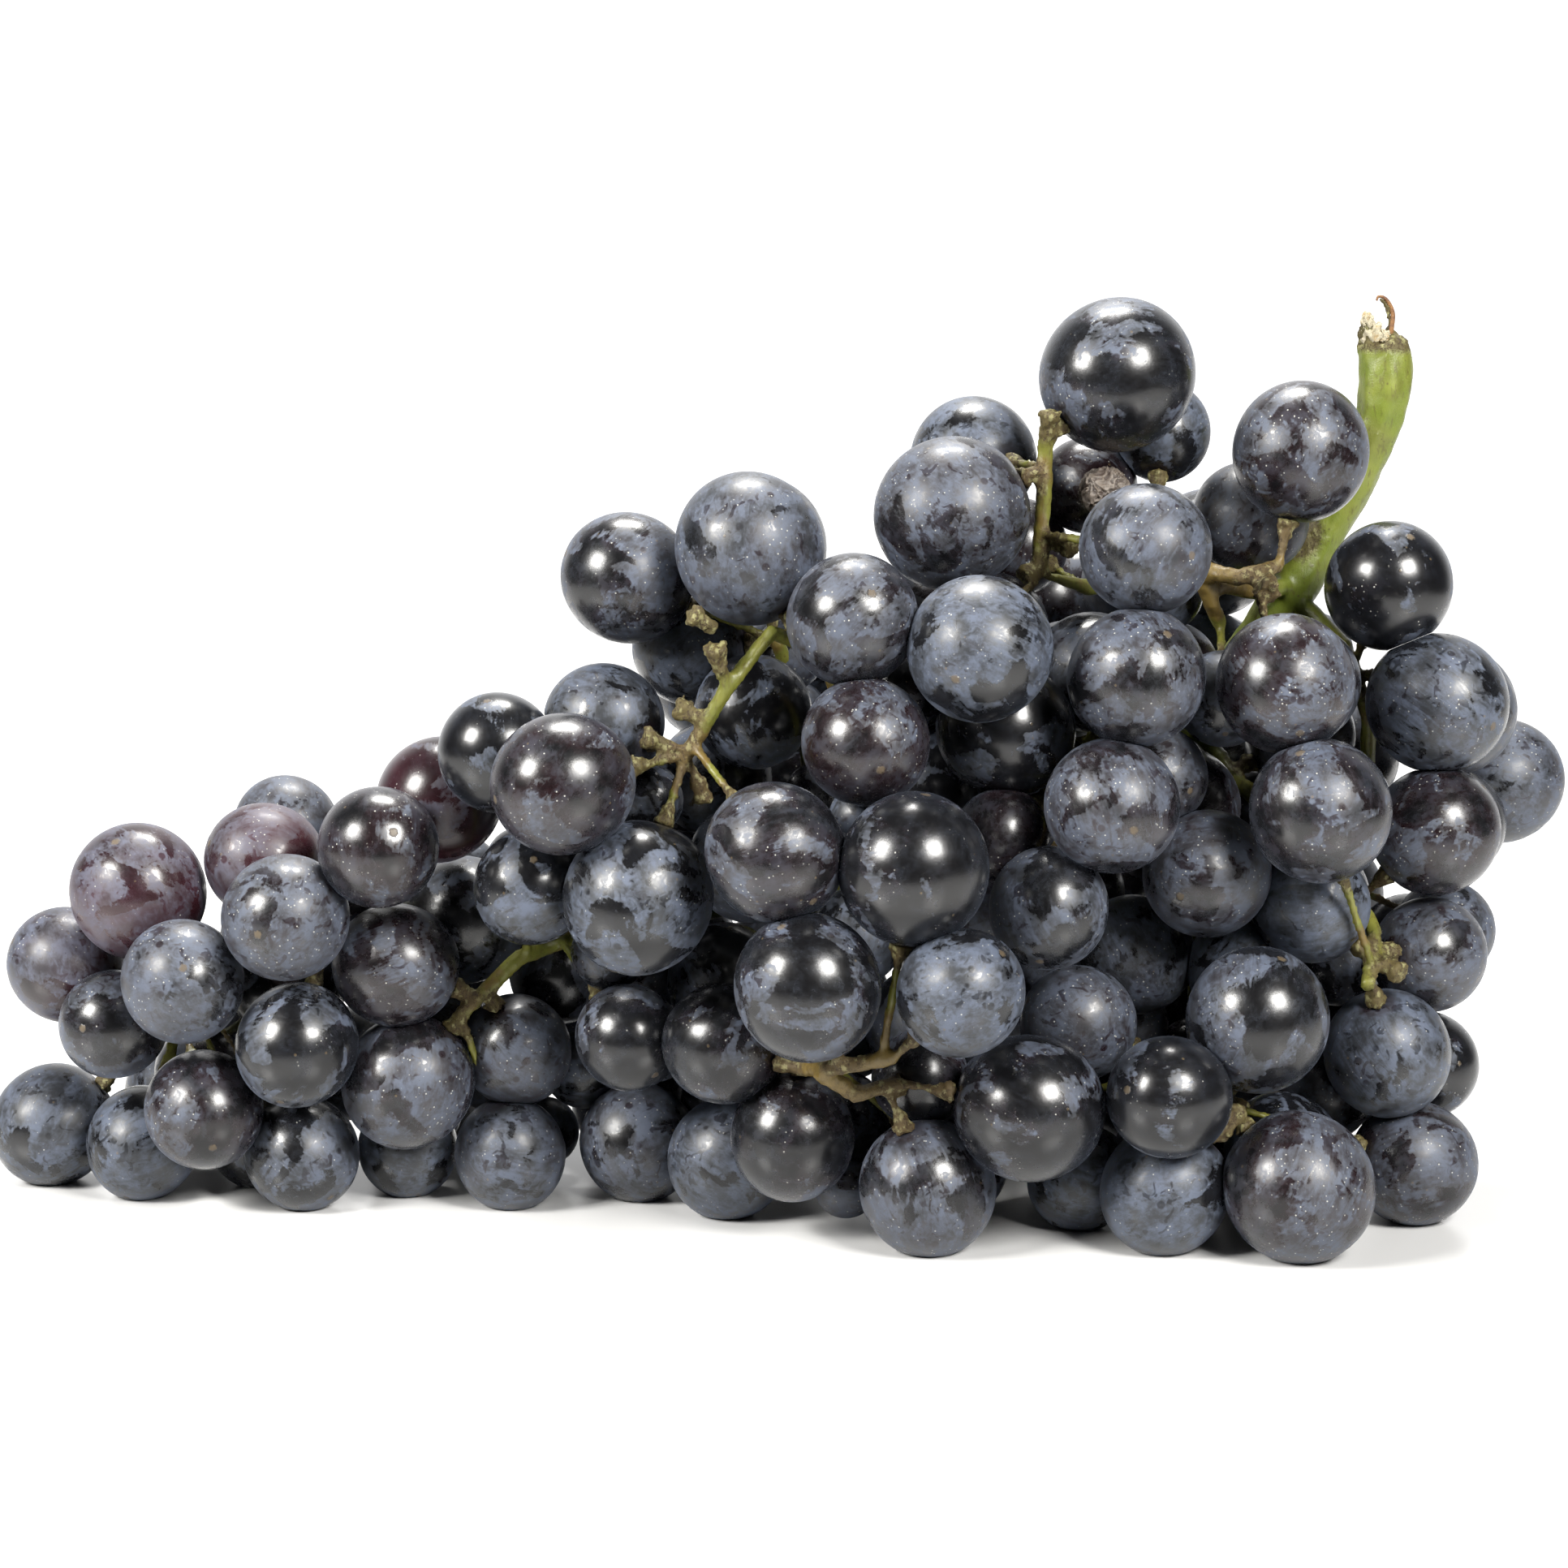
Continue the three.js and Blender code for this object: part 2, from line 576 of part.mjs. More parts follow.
function raisinSolid(raisin) {
  const geometry = new THREE.IcosahedronGeometry(raisin.radius, 1);
  const position = geometry.attributes.position;
  const place = new THREE.Vector3();
  for (let index = 0; index < position.count; index += 1) {
    place.fromBufferAttribute(position, index);
    const folds = Math.sin(place.x * RAISIN_WRINKLES.x + 1) * Math.sin(place.y * RAISIN_WRINKLES.y);
    const rings = Math.sin(place.z * RAISIN_WRINKLES.z + place.x);
    place.multiplyScalar(1 - RAISIN_DENT * Math.abs(folds + rings));
    place.z *= RAISIN_SQUASH;
    position.setXYZ(index, place.x, place.y, place.z);
  }
  geometry.translate(raisin.centre.x, raisin.centre.y, raisin.centre.z);
  return solid(geometry);
}

function belowTable() {
  const { side, depth } = TABLE;
  const geometry = new THREE.BoxGeometry(side, side, depth);
  geometry.translate(0, 0, -depth / 2);
  return solid(geometry);
}

// One body, or the largest of the bodies where scraps may be dropped.
function oneBody(shape, name, scraps) {
  const bodies = shape.decompose().sort((a, b) => b.volume() - a.volume());
  if (bodies.length > 1 && !scraps) throw new Error(`${name} is in ${bodies.length} bodies`);
  return bodies[0];
}

function meshOf(shape, name, material) {
  const mesh = shape.getMesh();
  const geometry = new THREE.BufferGeometry();
  geometry.setAttribute("position", new THREE.BufferAttribute(mesh.vertProperties, 3));
  geometry.setIndex(new THREE.BufferAttribute(mesh.triVerts, 1));
  const piece = new THREE.Mesh(geometry, material);
  piece.name = name;
  return piece;
}

function clusterMesh(name, berries, floor) {
  const members = berries.filter((berry) => berry.cluster === name);
  const fused = members.map((berry) => berrySolid(berry, 0)).reduce((sum, next) => sum.add(next));
  const material = RED_CLUSTERS.includes(name) ? RED_SKIN : SKIN;
  return meshOf(oneBody(fused.subtract(floor), name, false), `berries_${name}`, material.clone());
}

function pedicelRadii(points) {
  const [root, neck, cup] = PEDICEL_RADII;
  return points.map((_, index) => (index === points.length - 1 ? cup : [root, neck, neck][index]));
}

function stemMesh(rachis, twigs, pedicels, berries) {
  const solids = [limbSolid(rachis, RACHIS_SIDES)];
  for (const twig of twigs) {
    solids.push(limbSolid(twig, twig.seen ? TWIG_SIDES : HIDDEN_TWIG_SIDES));
  }
  for (const { points, sides } of pedicels) {
    solids.push(pedicelSolid(points, pedicelRadii(points), sides));
  }
  for (const run of BARE_PEDICELS) {
    const points = run.map(vector);
    solids.push(pedicelSolid(points, pedicelRadii(points), PEDICEL_SIDES));
  }
  for (const { run, radii } of TORN_END) {
    solids.push(pedicelSolid(run.map(vector), radii, PEDICEL_SIDES));
  }
  let shape = solids.reduce((sum, next) => sum.add(next));
  for (const berry of berries) shape = shape.subtract(berrySolid(berry, CUT_GAP));
  return meshOf(oneBody(shape, "stem", true), "stem", GREEN_BARK);
}

function buildBunch() {
  const rachis = makeLimb(RACHIS.map(vector), RACHIS.map((point) => point[3]), false);
  const seenTwigs = SEEN_TWIGS.map((run) => makeLimb(run.map(vector), TWIG_RADII, true));
  const near = nearBerries();
  const berries = [...near, ...farBerries(near)];
  const raisin = makeBerry(RAISIN, "raisin");
  settle([...berries, raisin], [rachis, ...seenTwigs]);

  const clusters = [...new Set(berries.map((berry) => berry.cluster))];
  const twigs = [...seenTwigs, ...hiddenTwigs(clusters, rachis, seenTwigs, berries)];
  const all = [...berries, raisin];
  const pedicels = all.map((berry) => hangBerry(berry, [rachis, ...twigs], all));

  const bunch = new THREE.Group();
  const floor = belowTable();
  bunch.add(stemMesh(rachis, twigs, pedicels, all));
  for (const name of clusters) bunch.add(clusterMesh(name, berries, floor));
  bunch.add(meshOf(raisinSolid(raisin), "raisin", RAISIN_SKIN));
  return standOnOrigin(bunch);
}

// Moves the bunch so that the origin is under its middle, on the table.
function standOnOrigin(bunch) {
  const box = new THREE.Box3().setFromObject(bunch);
  bunch.position.set(-(box.min.x + box.max.x) / 2, -(box.min.y + box.max.y) / 2, -box.min.z);
  return bunch;
}

export default buildBunch();
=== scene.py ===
"""A bunch of black table grapes on a pale floor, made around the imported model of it.

Every berry of the model is found in its cluster, and a fine berry takes its place. The stem gets its
bark, its warty cups and its torn end. Metres, with +Z up and the camera on the -Y side.
"""

import functools
import math

import bmesh
import bpy
import numpy as np
from mathutils import Matrix, Vector, noise


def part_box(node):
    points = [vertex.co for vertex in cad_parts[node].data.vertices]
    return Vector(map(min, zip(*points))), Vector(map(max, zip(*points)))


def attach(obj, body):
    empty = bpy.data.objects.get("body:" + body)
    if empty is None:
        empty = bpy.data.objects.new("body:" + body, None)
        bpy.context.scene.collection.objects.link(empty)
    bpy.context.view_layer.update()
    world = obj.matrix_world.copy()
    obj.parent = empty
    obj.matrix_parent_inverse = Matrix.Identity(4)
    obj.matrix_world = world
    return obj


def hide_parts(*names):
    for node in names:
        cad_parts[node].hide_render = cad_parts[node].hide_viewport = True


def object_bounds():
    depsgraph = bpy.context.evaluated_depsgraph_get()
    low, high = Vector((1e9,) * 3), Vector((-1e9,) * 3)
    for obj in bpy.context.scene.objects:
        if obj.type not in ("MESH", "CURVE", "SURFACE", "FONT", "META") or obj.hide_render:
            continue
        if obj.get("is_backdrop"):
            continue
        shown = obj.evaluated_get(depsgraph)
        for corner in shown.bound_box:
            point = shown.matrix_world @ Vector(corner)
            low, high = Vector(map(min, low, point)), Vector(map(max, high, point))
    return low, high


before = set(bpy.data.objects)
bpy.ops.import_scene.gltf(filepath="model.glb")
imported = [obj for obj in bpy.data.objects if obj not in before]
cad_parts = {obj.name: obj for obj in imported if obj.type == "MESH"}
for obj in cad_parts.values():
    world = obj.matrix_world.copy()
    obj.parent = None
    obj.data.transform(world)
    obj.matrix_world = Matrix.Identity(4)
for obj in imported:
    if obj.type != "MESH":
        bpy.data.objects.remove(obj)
CAD_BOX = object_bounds()

bl_info = {
    "name": "Bunch of grapes",
    "version": (1, 0, 0),
    "blender": (4, 5, 0),
    "location": "3D View > Sidebar > Grapes",
    "description": "Bloomed berries, a raisin and a stem with bark for a bunch of grapes",
    "category": "Add Mesh",
}

MM = 0.001
TABLE = 0.0
OVER_TABLE = 0.02 * MM
BODY = "root"

# The model's berries: balls of few faces, whose corners lie on a slightly long round form.
STRETCH = 1.04
SWELL = 1.03
LENGTH_SHARE = STRETCH ** (2 / 3)
WIDTH_SHARE = STRETCH ** (-1 / 3)
WELD = 0.002 * MM
CREASE = 0.05
SMALLEST_PATCH = 11
OUTER_SHARE = 0.965
START_AXES = [(1, 0, 0), (0, 1, 0), (0, 0, 1), (0.6, 0.6, 0.5), (-0.6, 0.6, 0.5)]
FIT_STEPS = 14
FIT_NUDGE = 1e-4 * MM
POLE_REACH = 2.6 * MM

# What makes a fine berry: waves round it, and bells of a height and a reach at its two ends.
WAVES = 4
WAVE_COUNTS = (1.3, 2.8)
STALK_DIMPLE = (0.035, 0.24)
BLOSSOM_DIMPLE = (0.014, 0.15)
BLOSSOM_POINT = (0.010, 0.045)
TOUCHING = 1.06
WALL_GAP = 0.02 * MM
FLAT_SPOT = TABLE + 0.01 * MM

# The places below are in the drawing's millimetres, which lie this far from the model's own.
DRAWING = np.array((-0.072, 8.595, 0))

# Small berries deep in the bunch that the model leaves out: x, y, z and diameter.
SMALL_BERRIES = [
    (-68.5, -13, 31.5, 11.5),
    (-19.5, -22, 62.5, 11),
    (11, -34, 62, 11),
    (-25.5, -18, 39, 11),
    (9, -26, 6, 12),
    (50, -27, 14, 12.5),
]
SMALL_SEED = 41
SMALL_LEAST = 4 * MM

# Berries that are less ripe and redder: x, y, z and how red.
BLUSHED = [
    (-94.5, -14, 47, 0.85),
    (-77, -6, 50.5, 0.95),
    (-50.5, -10, 60.5, 0.7),
    (-107, -4, 34.5, 0.6),
    (-87, -28, 33, 0.45),
    (-77, -30, 44, 0.3),
]
BLUSH_REACH = 6 * MM
FAINT_BLUSH = 0.12

# Berries that fill the hollow middle, by rule.
FILLER_SEED = 5
FILLER_TRIES = 9000
FILLER_LOW = (-98, -7, 6)
FILLER_HIGH = (96, 21, 95)
FILLER_RADII = (5.2 * MM, 8.8 * MM)
FILLER_SPREAD = 11 * MM
FILLER_COVER = 3
INNER_PRESS = 0.5 * MM

# Ends of the bare stalks whose berries have dropped, each with the place before it.
BARE_ENDS = [
    ((-8.6, -34.6, 88.3), (-12.8, -35.6, 91.4)),
    ((-8, -34, 80.5), (-9.6, -36, 86.7)),
    ((-17.2, -33, 72.5), (-19.6, -33.6, 73.6)),
    ((-12, -31.5, 66.5), (-11.4, -31, 64)),
    ((-10.4, -33.6, 76), (-14.9, -31.5, 77.5)),
    ((37.2, -16, 96), (34.4, -18, 94.4)),
    ((39, -15.4, 99), (41.4, -17.4, 98.4)),
    ((37.6, -16, 112), (38, -17.4, 118)),
    ((70, -14.4, 94.6), (69.8, -19.6, 92.2)),
    ((63.4, -36, 20.5), (61.4, -42.4, 18.2)),
    ((63.4, -36, 20.6), (63.9, -42.6, 21)),
    ((85.4, -26, 40), (88.4, -29.4, 38.6)),
]

# The cup of cork on a hung berry and on a bare end, in millimetres. A cone goes from a place on the
# axis, counted from the rim, and its radius there to another. Then come the warts round the cup.
HUNG_CUP = [((-1.5, 1.05), (0, 1.75))]
BARE_CUP = [((-4.2, 0.85), (-1.0, 1.15)), ((-1.7, 1.1), (0.2, 1.7))]
HUNG_WARTS = {
    "count": 7, "in_turn": 7, "sway": 0.3, "depth": (0.2, 1.5), "rim": 1.75, "size": (0.28, 0.45),
}
BARE_WARTS = {
    "count": 20, "in_turn": 5.5, "sway": 0.4, "depth": (-0.2, 4.0), "rim": 1.7, "size": (0.38, 0.62),
}
CUP_TAPER = 0.42
CUP_WAIST = 0.9
CUP_SINK = 0.985
CUP_SIDES = 14
CUP_SEED = 7

# The thick stalk from its torn end down: x, y, z and radius.
STALK = [
    (88.9, 8, 126.2, 3.0),
    (89.7, 8, 124.2, 3.75),
    (89.6, 8, 119.6, 4.0),
    (88.2, 8, 112.4, 3.4),
    (84.9, 8, 105, 3.0),
    (80, 8, 96, 3.3),
    (76.5, 8, 90, 4.05),
    (70, 8, 80, 3.15),
    (61, 7, 70, 2.8),
    (49, 5, 61, 2.7),
    (35, 2, 54, 2.6),
]
STALK_SIDES = 40
STALK_STEPS = 8
STALK_GROOVES = (0.05, 7)
GROOVE_TWIST = 0.03

# The torn end: lumps of white pith (place and half sizes), how rough they are, and a dry fibre.
PITH_LUMPS = [
    ((87.5, 7.6, 127.2), (1.9, 1.5, 2.3)),
    ((86.6, 7.5, 129.3), (1.1, 1.0, 1.6)),
    ((88.9, 7.4, 127.0), (1.2, 1.2, 1.3)),
]
PITH_FINENESS = 5
PITH_CORE = 0.82
PITH_SCALES = (1.9, 3.7)
PITH_HEIGHTS = (0.42, 0.16)
PITH_SHIFT = 5
FIBRE = [
    (89.9, 7.7, 126.0),
    (90.2, 7.5, 128.6),
    (90.3, 7.4, 130.4),
    (89.8, 7.3, 131.8),
    (89.0, 7.2, 132.8),
    (88.1, 7.2, 133.0),
    (87.8, 7.2, 132.4),
]
FIBRE_RADII = (0.42, 0.2)
FIBRE_SIDES = 10
FIBRE_STEPS = 10
FIBRE_GROOVES = (0.3, 2)

# Twigs whose bark is dry and orange brown: the middle, and how far that reaches. Its strength
# grows by the gain up to 1, as that of the cork and of the thick stem's green does further down.
DRY_TWIGS = [
    ((12, -38, 29), 17 * MM),
    ((68, -15, 94), 11 * MM),
    ((-12, -31, 69), 6 * MM),
]
DRY_GAIN = 2
DRY_LUMPS = 0.5

# The bark: how far cork spreads from a cup and from a bare end, where it starts under the torn end,
# how far the thick stem's green spreads, how the surface is evened out (share and rounds), and the
# ribs and lumps that stand out. Cork takes a share of the ribs away.
CORK_REACH = (6.0 * MM, 7.0 * MM)
CORK_GAIN = 1.6
TORN_FROM = 123.4 * MM
TORN_BAND = 2.4 * MM
TORN_CORK = 0.8
STOUT_REACH = 12 * MM
STOUT_GAIN = 2.2
STOUT_STEPS = 4
SMOOTHING = (0.5, 2)
RIB_SCALE = 420
RIB_HEIGHT = 0.16 * MM
RIBS_LOST = 0.4
LUMP_SCALE = 1150
LEAST_LUMPS = 0.12

# The raisin: the seed for the bend of its wrinkles, which would follow the clock without one, the
# bend, their scales, shifts and shares, its size between them and the rise on them, and how dark the
# painted shade in a low place is: a number, less so much for each part of the rise.
WRINKLE_SEED = 12
WRINKLE_BEND = (1.6, 0.5)
WRINKLES = [(3.1, (0, 0, 0), 0.72), (6.5, (3, 1, 7), 0.28)]
RAISIN_FINENESS = 6
RAISIN_CORE = 0.80
RAISIN_RISE = 0.19
FOLD_SHADE = (1.25, 1.7)

# How bright the room round the bunch is: in front of it, behind it, and where that changes.
ROOM_DIM = 0.025
ROOM_WHITE = 1.35
ROOM_TURN = (0.30, 0.93)

# Lamps: name, azimuth and elevation in degrees, distance, two sides and power.
LAMPS = [
    ("left_window", -56, 30, 0.75, (0.25, 0.25), 11.5),
    ("right_window", 36, 33, 0.75, (0.25, 0.25), 11.5),
    ("top_window", 180, 66, 0.9, (0.34, 0.17), 14),
]
LAMP_COLOUR = (1.0, 0.985, 0.95)

# The floor's edges, near enough to be white all over: left, right, near and far.
FLOOR_EDGES = (-0.5, 0.5, -0.275, 0.72)


def colour(name, description, default):
    """A colour as a property of the panel."""
    return bpy.props.FloatVectorProperty(
        name=name, description=description, default=default, subtype="COLOR", size=3, min=0, max=1
    )


class BerrySettings(bpy.types.PropertyGroup):
    """Sizes and colours of the berries."""

    fineness: bpy.props.IntProperty(
        name="Fineness", description="How often a berry's faces are divided", default=5, min=3, max=6
    )
    plumpness: bpy.props.FloatProperty(
        name="Plumpness", description="Size over the model's berry", default=1.008, min=0.95, max=1.03,
        subtype="FACTOR",
    )
    unevenness: bpy.props.FloatProperty(
        name="Unevenness", description="How far a berry departs from a true round", default=0.006,
        min=0, max=0.03, subtype="FACTOR",
    )
    skin: colour("Skin", "Skin where the bloom is rubbed off", (0.0026, 0.0025, 0.0030))
    purple: colour("Purple skin", "Skin with a hint of red", (0.0088, 0.0026, 0.0034))
    red: colour("Red skin", "Skin of the berries at the tip that are less ripe", (0.034, 0.0070, 0.0105))
    bloom: colour("Bloom", "Waxy bloom on the skin", (0.073, 0.090, 0.130))
    rosy: colour("Rosy bloom", "Bloom on the redder berries", (0.072, 0.040, 0.055))
    haze: colour("Haze", "Thin bloom that is nearly rubbed off", (0.040, 0.042, 0.043))
    dust: colour("Dust", "Specks and grains on the skin", (0.32, 0.32, 0.29))
    scar: colour("Scar", "Cork of the little scars", (0.095, 0.068, 0.036))
    raisin: colour("Raisin", "Skin of the raisin", (0.085, 0.066, 0.050))
    raisin_pale: colour("Pale raisin", "Where the raisin's skin is paler", (0.150, 0.130, 0.112))
    # Painted shade, laid deep in the raisin's wrinkles.
    raisin_painted_shade: colour("Raisin's folds", "Deep in the raisin's wrinkles", (0.018, 0.009, 0.008))


class StemSettings(bpy.types.PropertyGroup):
    """Sizes and colours of the stem."""

    voxel: bpy.props.FloatProperty(
        name="Fineness", description="Size of the stem's faces", default=0.52 * MM, min=0.3 * MM,
        max=1.0 * MM, subtype="DISTANCE", unit="LENGTH", precision=5,
    )
    warts: bpy.props.FloatProperty(
        name="Warts", description="Height of the cork warts on the cups", default=0.40 * MM, min=0,
        max=1.0 * MM, subtype="DISTANCE", unit="LENGTH", precision=5,
    )
    green: colour("Green bark", "Bark of the thick stem", (0.105, 0.137, 0.014))
    fresh: colour("Fresh bark", "Lighter parts of the thick stem", (0.158, 0.180, 0.030))
    olive: colour("Olive bark", "Darker parts of the thick stem", (0.080, 0.082, 0.014))
    yellow: colour("Yellow bark", "Bark of the twigs", (0.130, 0.128, 0.022))
    dull: colour("Dull bark", "Darker parts of the twigs", (0.095, 0.105, 0.018))
    rust: colour("Orange bark", "Dry patches on the twigs", (0.112, 0.060, 0.020))
    brown: colour("Brown bark", "Cork on cups and scars", (0.055, 0.036, 0.012))
    cork: colour("Pale cork", "Warts and dry edges", (0.185, 0.170, 0.078))
    crack: colour("Cracks", "Cracks in the cork", (0.030, 0.016, 0.007))
    # Painted shade for the low places in the cork.
    painted_pit_shade: colour("Pits", "Low places in the cork", (0.020, 0.011, 0.005))
    pith: colour("Pith", "Torn pith at the stalk's end", (0.30, 0.27, 0.19))
    stained: colour("Stained pith", "Where the pith has browned", (0.26, 0.17, 0.06))
    strand: colour("Strands", "Fibres in the pith", (0.20, 0.14, 0.05))
    straw: colour("Dry fibre", "The curled fibre at the stalk's end", (0.18, 0.085, 0.026))
    burnt: colour("Dark fibre", "Darker parts of the curled fibre", (0.085, 0.036, 0.017))


class StageSettings(bpy.types.PropertyGroup):
    """Floor, lights and camera."""

    distance: bpy.props.FloatProperty(
        name="Distance", description="From the camera to its aim", default=0.62, min=0.3, max=3,
        subtype="DISTANCE", unit="LENGTH",
    )
    elevation: bpy.props.FloatProperty(
        name="Elevation", description="Height of the camera as an angle", default=math.radians(10),
        min=0, max=math.radians(80), subtype="ANGLE", unit="ROTATION",
    )
    aim: bpy.props.FloatVectorProperty(
        name="Aim", description="What the camera looks at", default=(0.0, 0.0086, 0.061),
        subtype="TRANSLATION", unit="LENGTH",
    )
    lens: bpy.props.FloatProperty(
        name="Lens", description="Focal length", default=95.31, min=20, max=300, unit="CAMERA"
    )
    floor: colour("Floor", "The white floor", (0.62, 0.62, 0.62))


# Materials


class Socket:
    """An output in a node tree, so that shader maths reads like plain maths."""

    def __init__(self, tree, link):
        self.tree = tree
        self.link = link

    def maths(self, operation, *others):
        """A Math node on this output and others."""
        return self.tree.node("ShaderNodeMath", {"operation": operation}, [self, *others])

    def __add__(self, other):
        return self.maths("ADD", other)

    def __sub__(self, other):
        return self.maths("SUBTRACT", other)

    def __mul__(self, other):
        return self.maths("MULTIPLY", other)

    def __rsub__(self, other):
        return self.tree.node("ShaderNodeMath", {"operation": "SUBTRACT"}, [other, self])

    __radd__ = __add__
    __rmul__ = __mul__

    def steps(self, low, high):
        """0 under low and 1 over high, with a smooth rise between."""
        settings = {"interpolation_type": "SMOOTHSTEP", "clamp": True}
        values = {"Value": self, "From Min": low, "From Max": high}
        return self.tree.node("ShaderNodeMapRange", settings, values)


class Nodes:
    """A node tree, with one method that adds any node."""

    def __init__(self, tree):
        self.nodes = tree.nodes
        self.links = tree.links

    def put(self, socket, value):
        """Sets or links one input."""
        if isinstance(value, Socket):
            self.links.new(value.link, socket)
        elif hasattr(value, "__len__") and len(value) == 3 and socket.type == "RGBA":
            socket.default_value = (*value, 1)
        else:
            socket.default_value = value

    def node(self, kind, settings=None, values=None, output=0):
        """A node of a kind with its settings, then the values or links of its sockets."""
        node = self.nodes.new(kind)
        for key, value in (settings or {}).items():
            setattr(node, key, value)
        pairs = values.items() if isinstance(values, dict) else enumerate(values or [])
        for key, value in pairs:
            self.put(node.inputs[key], value)
        return Socket(self, node.outputs[output])

    def attribute(self, name, output):
        """A number or vector that the mesh carries."""
        return self.node("ShaderNodeAttribute", {"attribute_name": name}, output=output)

    def noise(self, place, scale, detail=3, rough=0.55, distortion=0.0):
        """Cloudy noise from 0 to 1."""
        values = {"Vector": place, "Scale": scale, "Detail": detail, "Roughness": rough,
                  "Distortion": distortion}
        return self.node("ShaderNodeTexNoise", None, values)

    def cells(self, place, scale):
        """Distance to scattered points."""
        values = {"Vector": place, "Scale": scale}
        return self.node("ShaderNodeTexVoronoi", {"feature": "F1"}, values, "Distance")

    def vector(self, operation, *values):
        """A Vector Math node."""
        return self.node("ShaderNodeVectorMath", {"operation": operation}, values)

    def mix(self, factor, one, other):
        """A blend of two colours."""
        node = self.nodes.new("ShaderNodeMix")
        node.data_type = "RGBA"
        self.put(node.inputs["Factor"], factor)
        self.put(node.inputs[6], one)
        self.put(node.inputs[7], other)
        return Socket(self, node.outputs[2])


class Material(Nodes):
    """A material's nodes round its one shader."""

    def __init__(self, name):
        self.material = bpy.data.materials.new(name)
        self.material.use_nodes = True
        super().__init__(self.material.node_tree)
        self.shader = self.nodes["Principled BSDF"]

    def bump(self, height, distance, strength=1.0):
        """The shader's normal, bent by a height in metres over distance."""
        values = {"Height": height, "Distance": distance, "Strength": strength}
        normal = self.node("ShaderNodeBump", None, values)
        self.put(self.shader.inputs["Normal"], normal)

    def finish(self, colour_value, roughness, **constants):
        """Links what varies and sets what is the same all over."""
        self.put(self.shader.inputs["Base Color"], colour_value)
        self.put(self.shader.inputs["Roughness"], roughness)
        for key, value in constants.items():
            self.shader.inputs[key.replace("_", " ")].default_value = value
        return self.material


def skin_material(name):
    """Grape skin: dark and glossy where rubbed, slate blue and satin where the bloom is whole."""
    own = bpy.context.scene.grape_berries
    skin = Material(name)
    place = skin.attribute("skin_place", "Vector")
    pole = skin.attribute("pole", "Fac")
    tone = skin.attribute("tone", "Fac")
    wear = skin.attribute("wear", "Fac")
    blush = skin.attribute("blush", "Fac")

    # The bloom is rubbed off in large patches with crisp edges, in smears and in fine scratches.
    patches = skin.noise(place, 112, 3, 0.56, 0.7)
    smears = skin.noise(skin.vector("MULTIPLY", place, (1.0, 0.28, 1.6)), 620, 3, 0.6, 1.2)
    grain = skin.noise(place, 2600, 2, 0.6)
    ragged = patches + (smears - 0.5) * 0.15 + (grain - 0.5) * 0.07
    whole = (ragged + (wear - 0.5) * 0.22).steps(0.46, 0.51)
    cloud = skin.noise(place, 270, 4, 0.68)
    thin = (smears * 0.35 + cloud * 0.65).steps(0.36, 0.62)
    spots = (1 - skin.cells(place, 300).steps(0.14, 0.22)) * skin.noise(place, 180, 2).steps(0.44, 0.56)
    nicks = skin.noise(place, 520, 2, 0.5, 0.9).steps(0.60, 0.66)
    full = (0.42 + 0.58 * thin) * (1 - 0.75 * spots) * (1 - 0.65 * nicks)
    bloom = whole * full + (1 - whole) * (0.01 + (0.05 + 0.48 * tone) * thin * cloud)

    scratch_place = skin.vector("MULTIPLY", place, (0.2, 1.0, 1.0))
    scratches = skin.noise(scratch_place, 1900, 2, 0.4, 0.9).steps(0.64, 0.70)
    scratches = scratches * (smears * 0.5 + patches * 0.5).steps(0.48, 0.58)
    bloom = bloom * (1 - 0.6 * scratches)

    # Dust grains in drifts, pale lenticels and the scars at the two ends.
    grains = 1 - skin.cells(place, 1200).steps(0.08, 0.19)
    grains = grains * (cloud * 0.6 + patches * 0.4 + (tone - 0.5) * 0.06).steps(0.48, 0.57)
    dots = 1 - skin.cells(place, 230).steps(0.035, 0.06)
    blossom = (pole + (grain - 0.5) * 0.004).steps(0.9962, 0.9988)
    cup_ring = (0 - pole).steps(0.93, 0.975)

    reddish = (blush * (0.35 + patches * 0.8 + cloud * 0.5 - pole * 0.3)).steps(0.25, 1.0)
    tinted = (cloud * 0.4 + patches * 0.6 + (tone - 0.5) * 0.2).steps(0.44, 0.62)
    bare = skin.mix(tinted, own.skin, own.purple)
    bare = skin.mix(reddish, bare, own.red)
    wax = skin.mix(thin * 0.75 + whole * 0.25, own.haze, own.bloom)
    wax = skin.mix(reddish * 0.5, wax, own.rosy)
    wax = skin.mix(tone * 0.25, wax, own.haze)
    coat = skin.mix(bloom * 0.84, bare, wax)
    coat = skin.mix(dots * 0.5, coat, own.scar)
    coat = skin.mix(grains * 0.9 + scratches * 0.05, coat, own.dust)
    coat = skin.mix(cup_ring * 0.55, coat, own.purple)
    coat = skin.mix(blossom * 0.65, coat, own.scar)

    rough = 0.23 + bloom * 0.38 + grains * 0.15 + blossom * 0.3 + (grain - 0.5) * 0.06
    skin.bump(grain * 0.3 + smears * 0.3 + dots * 0.5 + blossom * 2.2, 0.045 * MM, 0.55)
    return skin.finish(
        coat, rough, IOR=1.5, Coat_Weight=0.10, Coat_Roughness=0.18, Coat_IOR=1.4,
        Sheen_Weight=0.04, Sheen_Roughness=0.4, Sheen_Tint=(0.62, 0.74, 1.0, 1.0),
    )


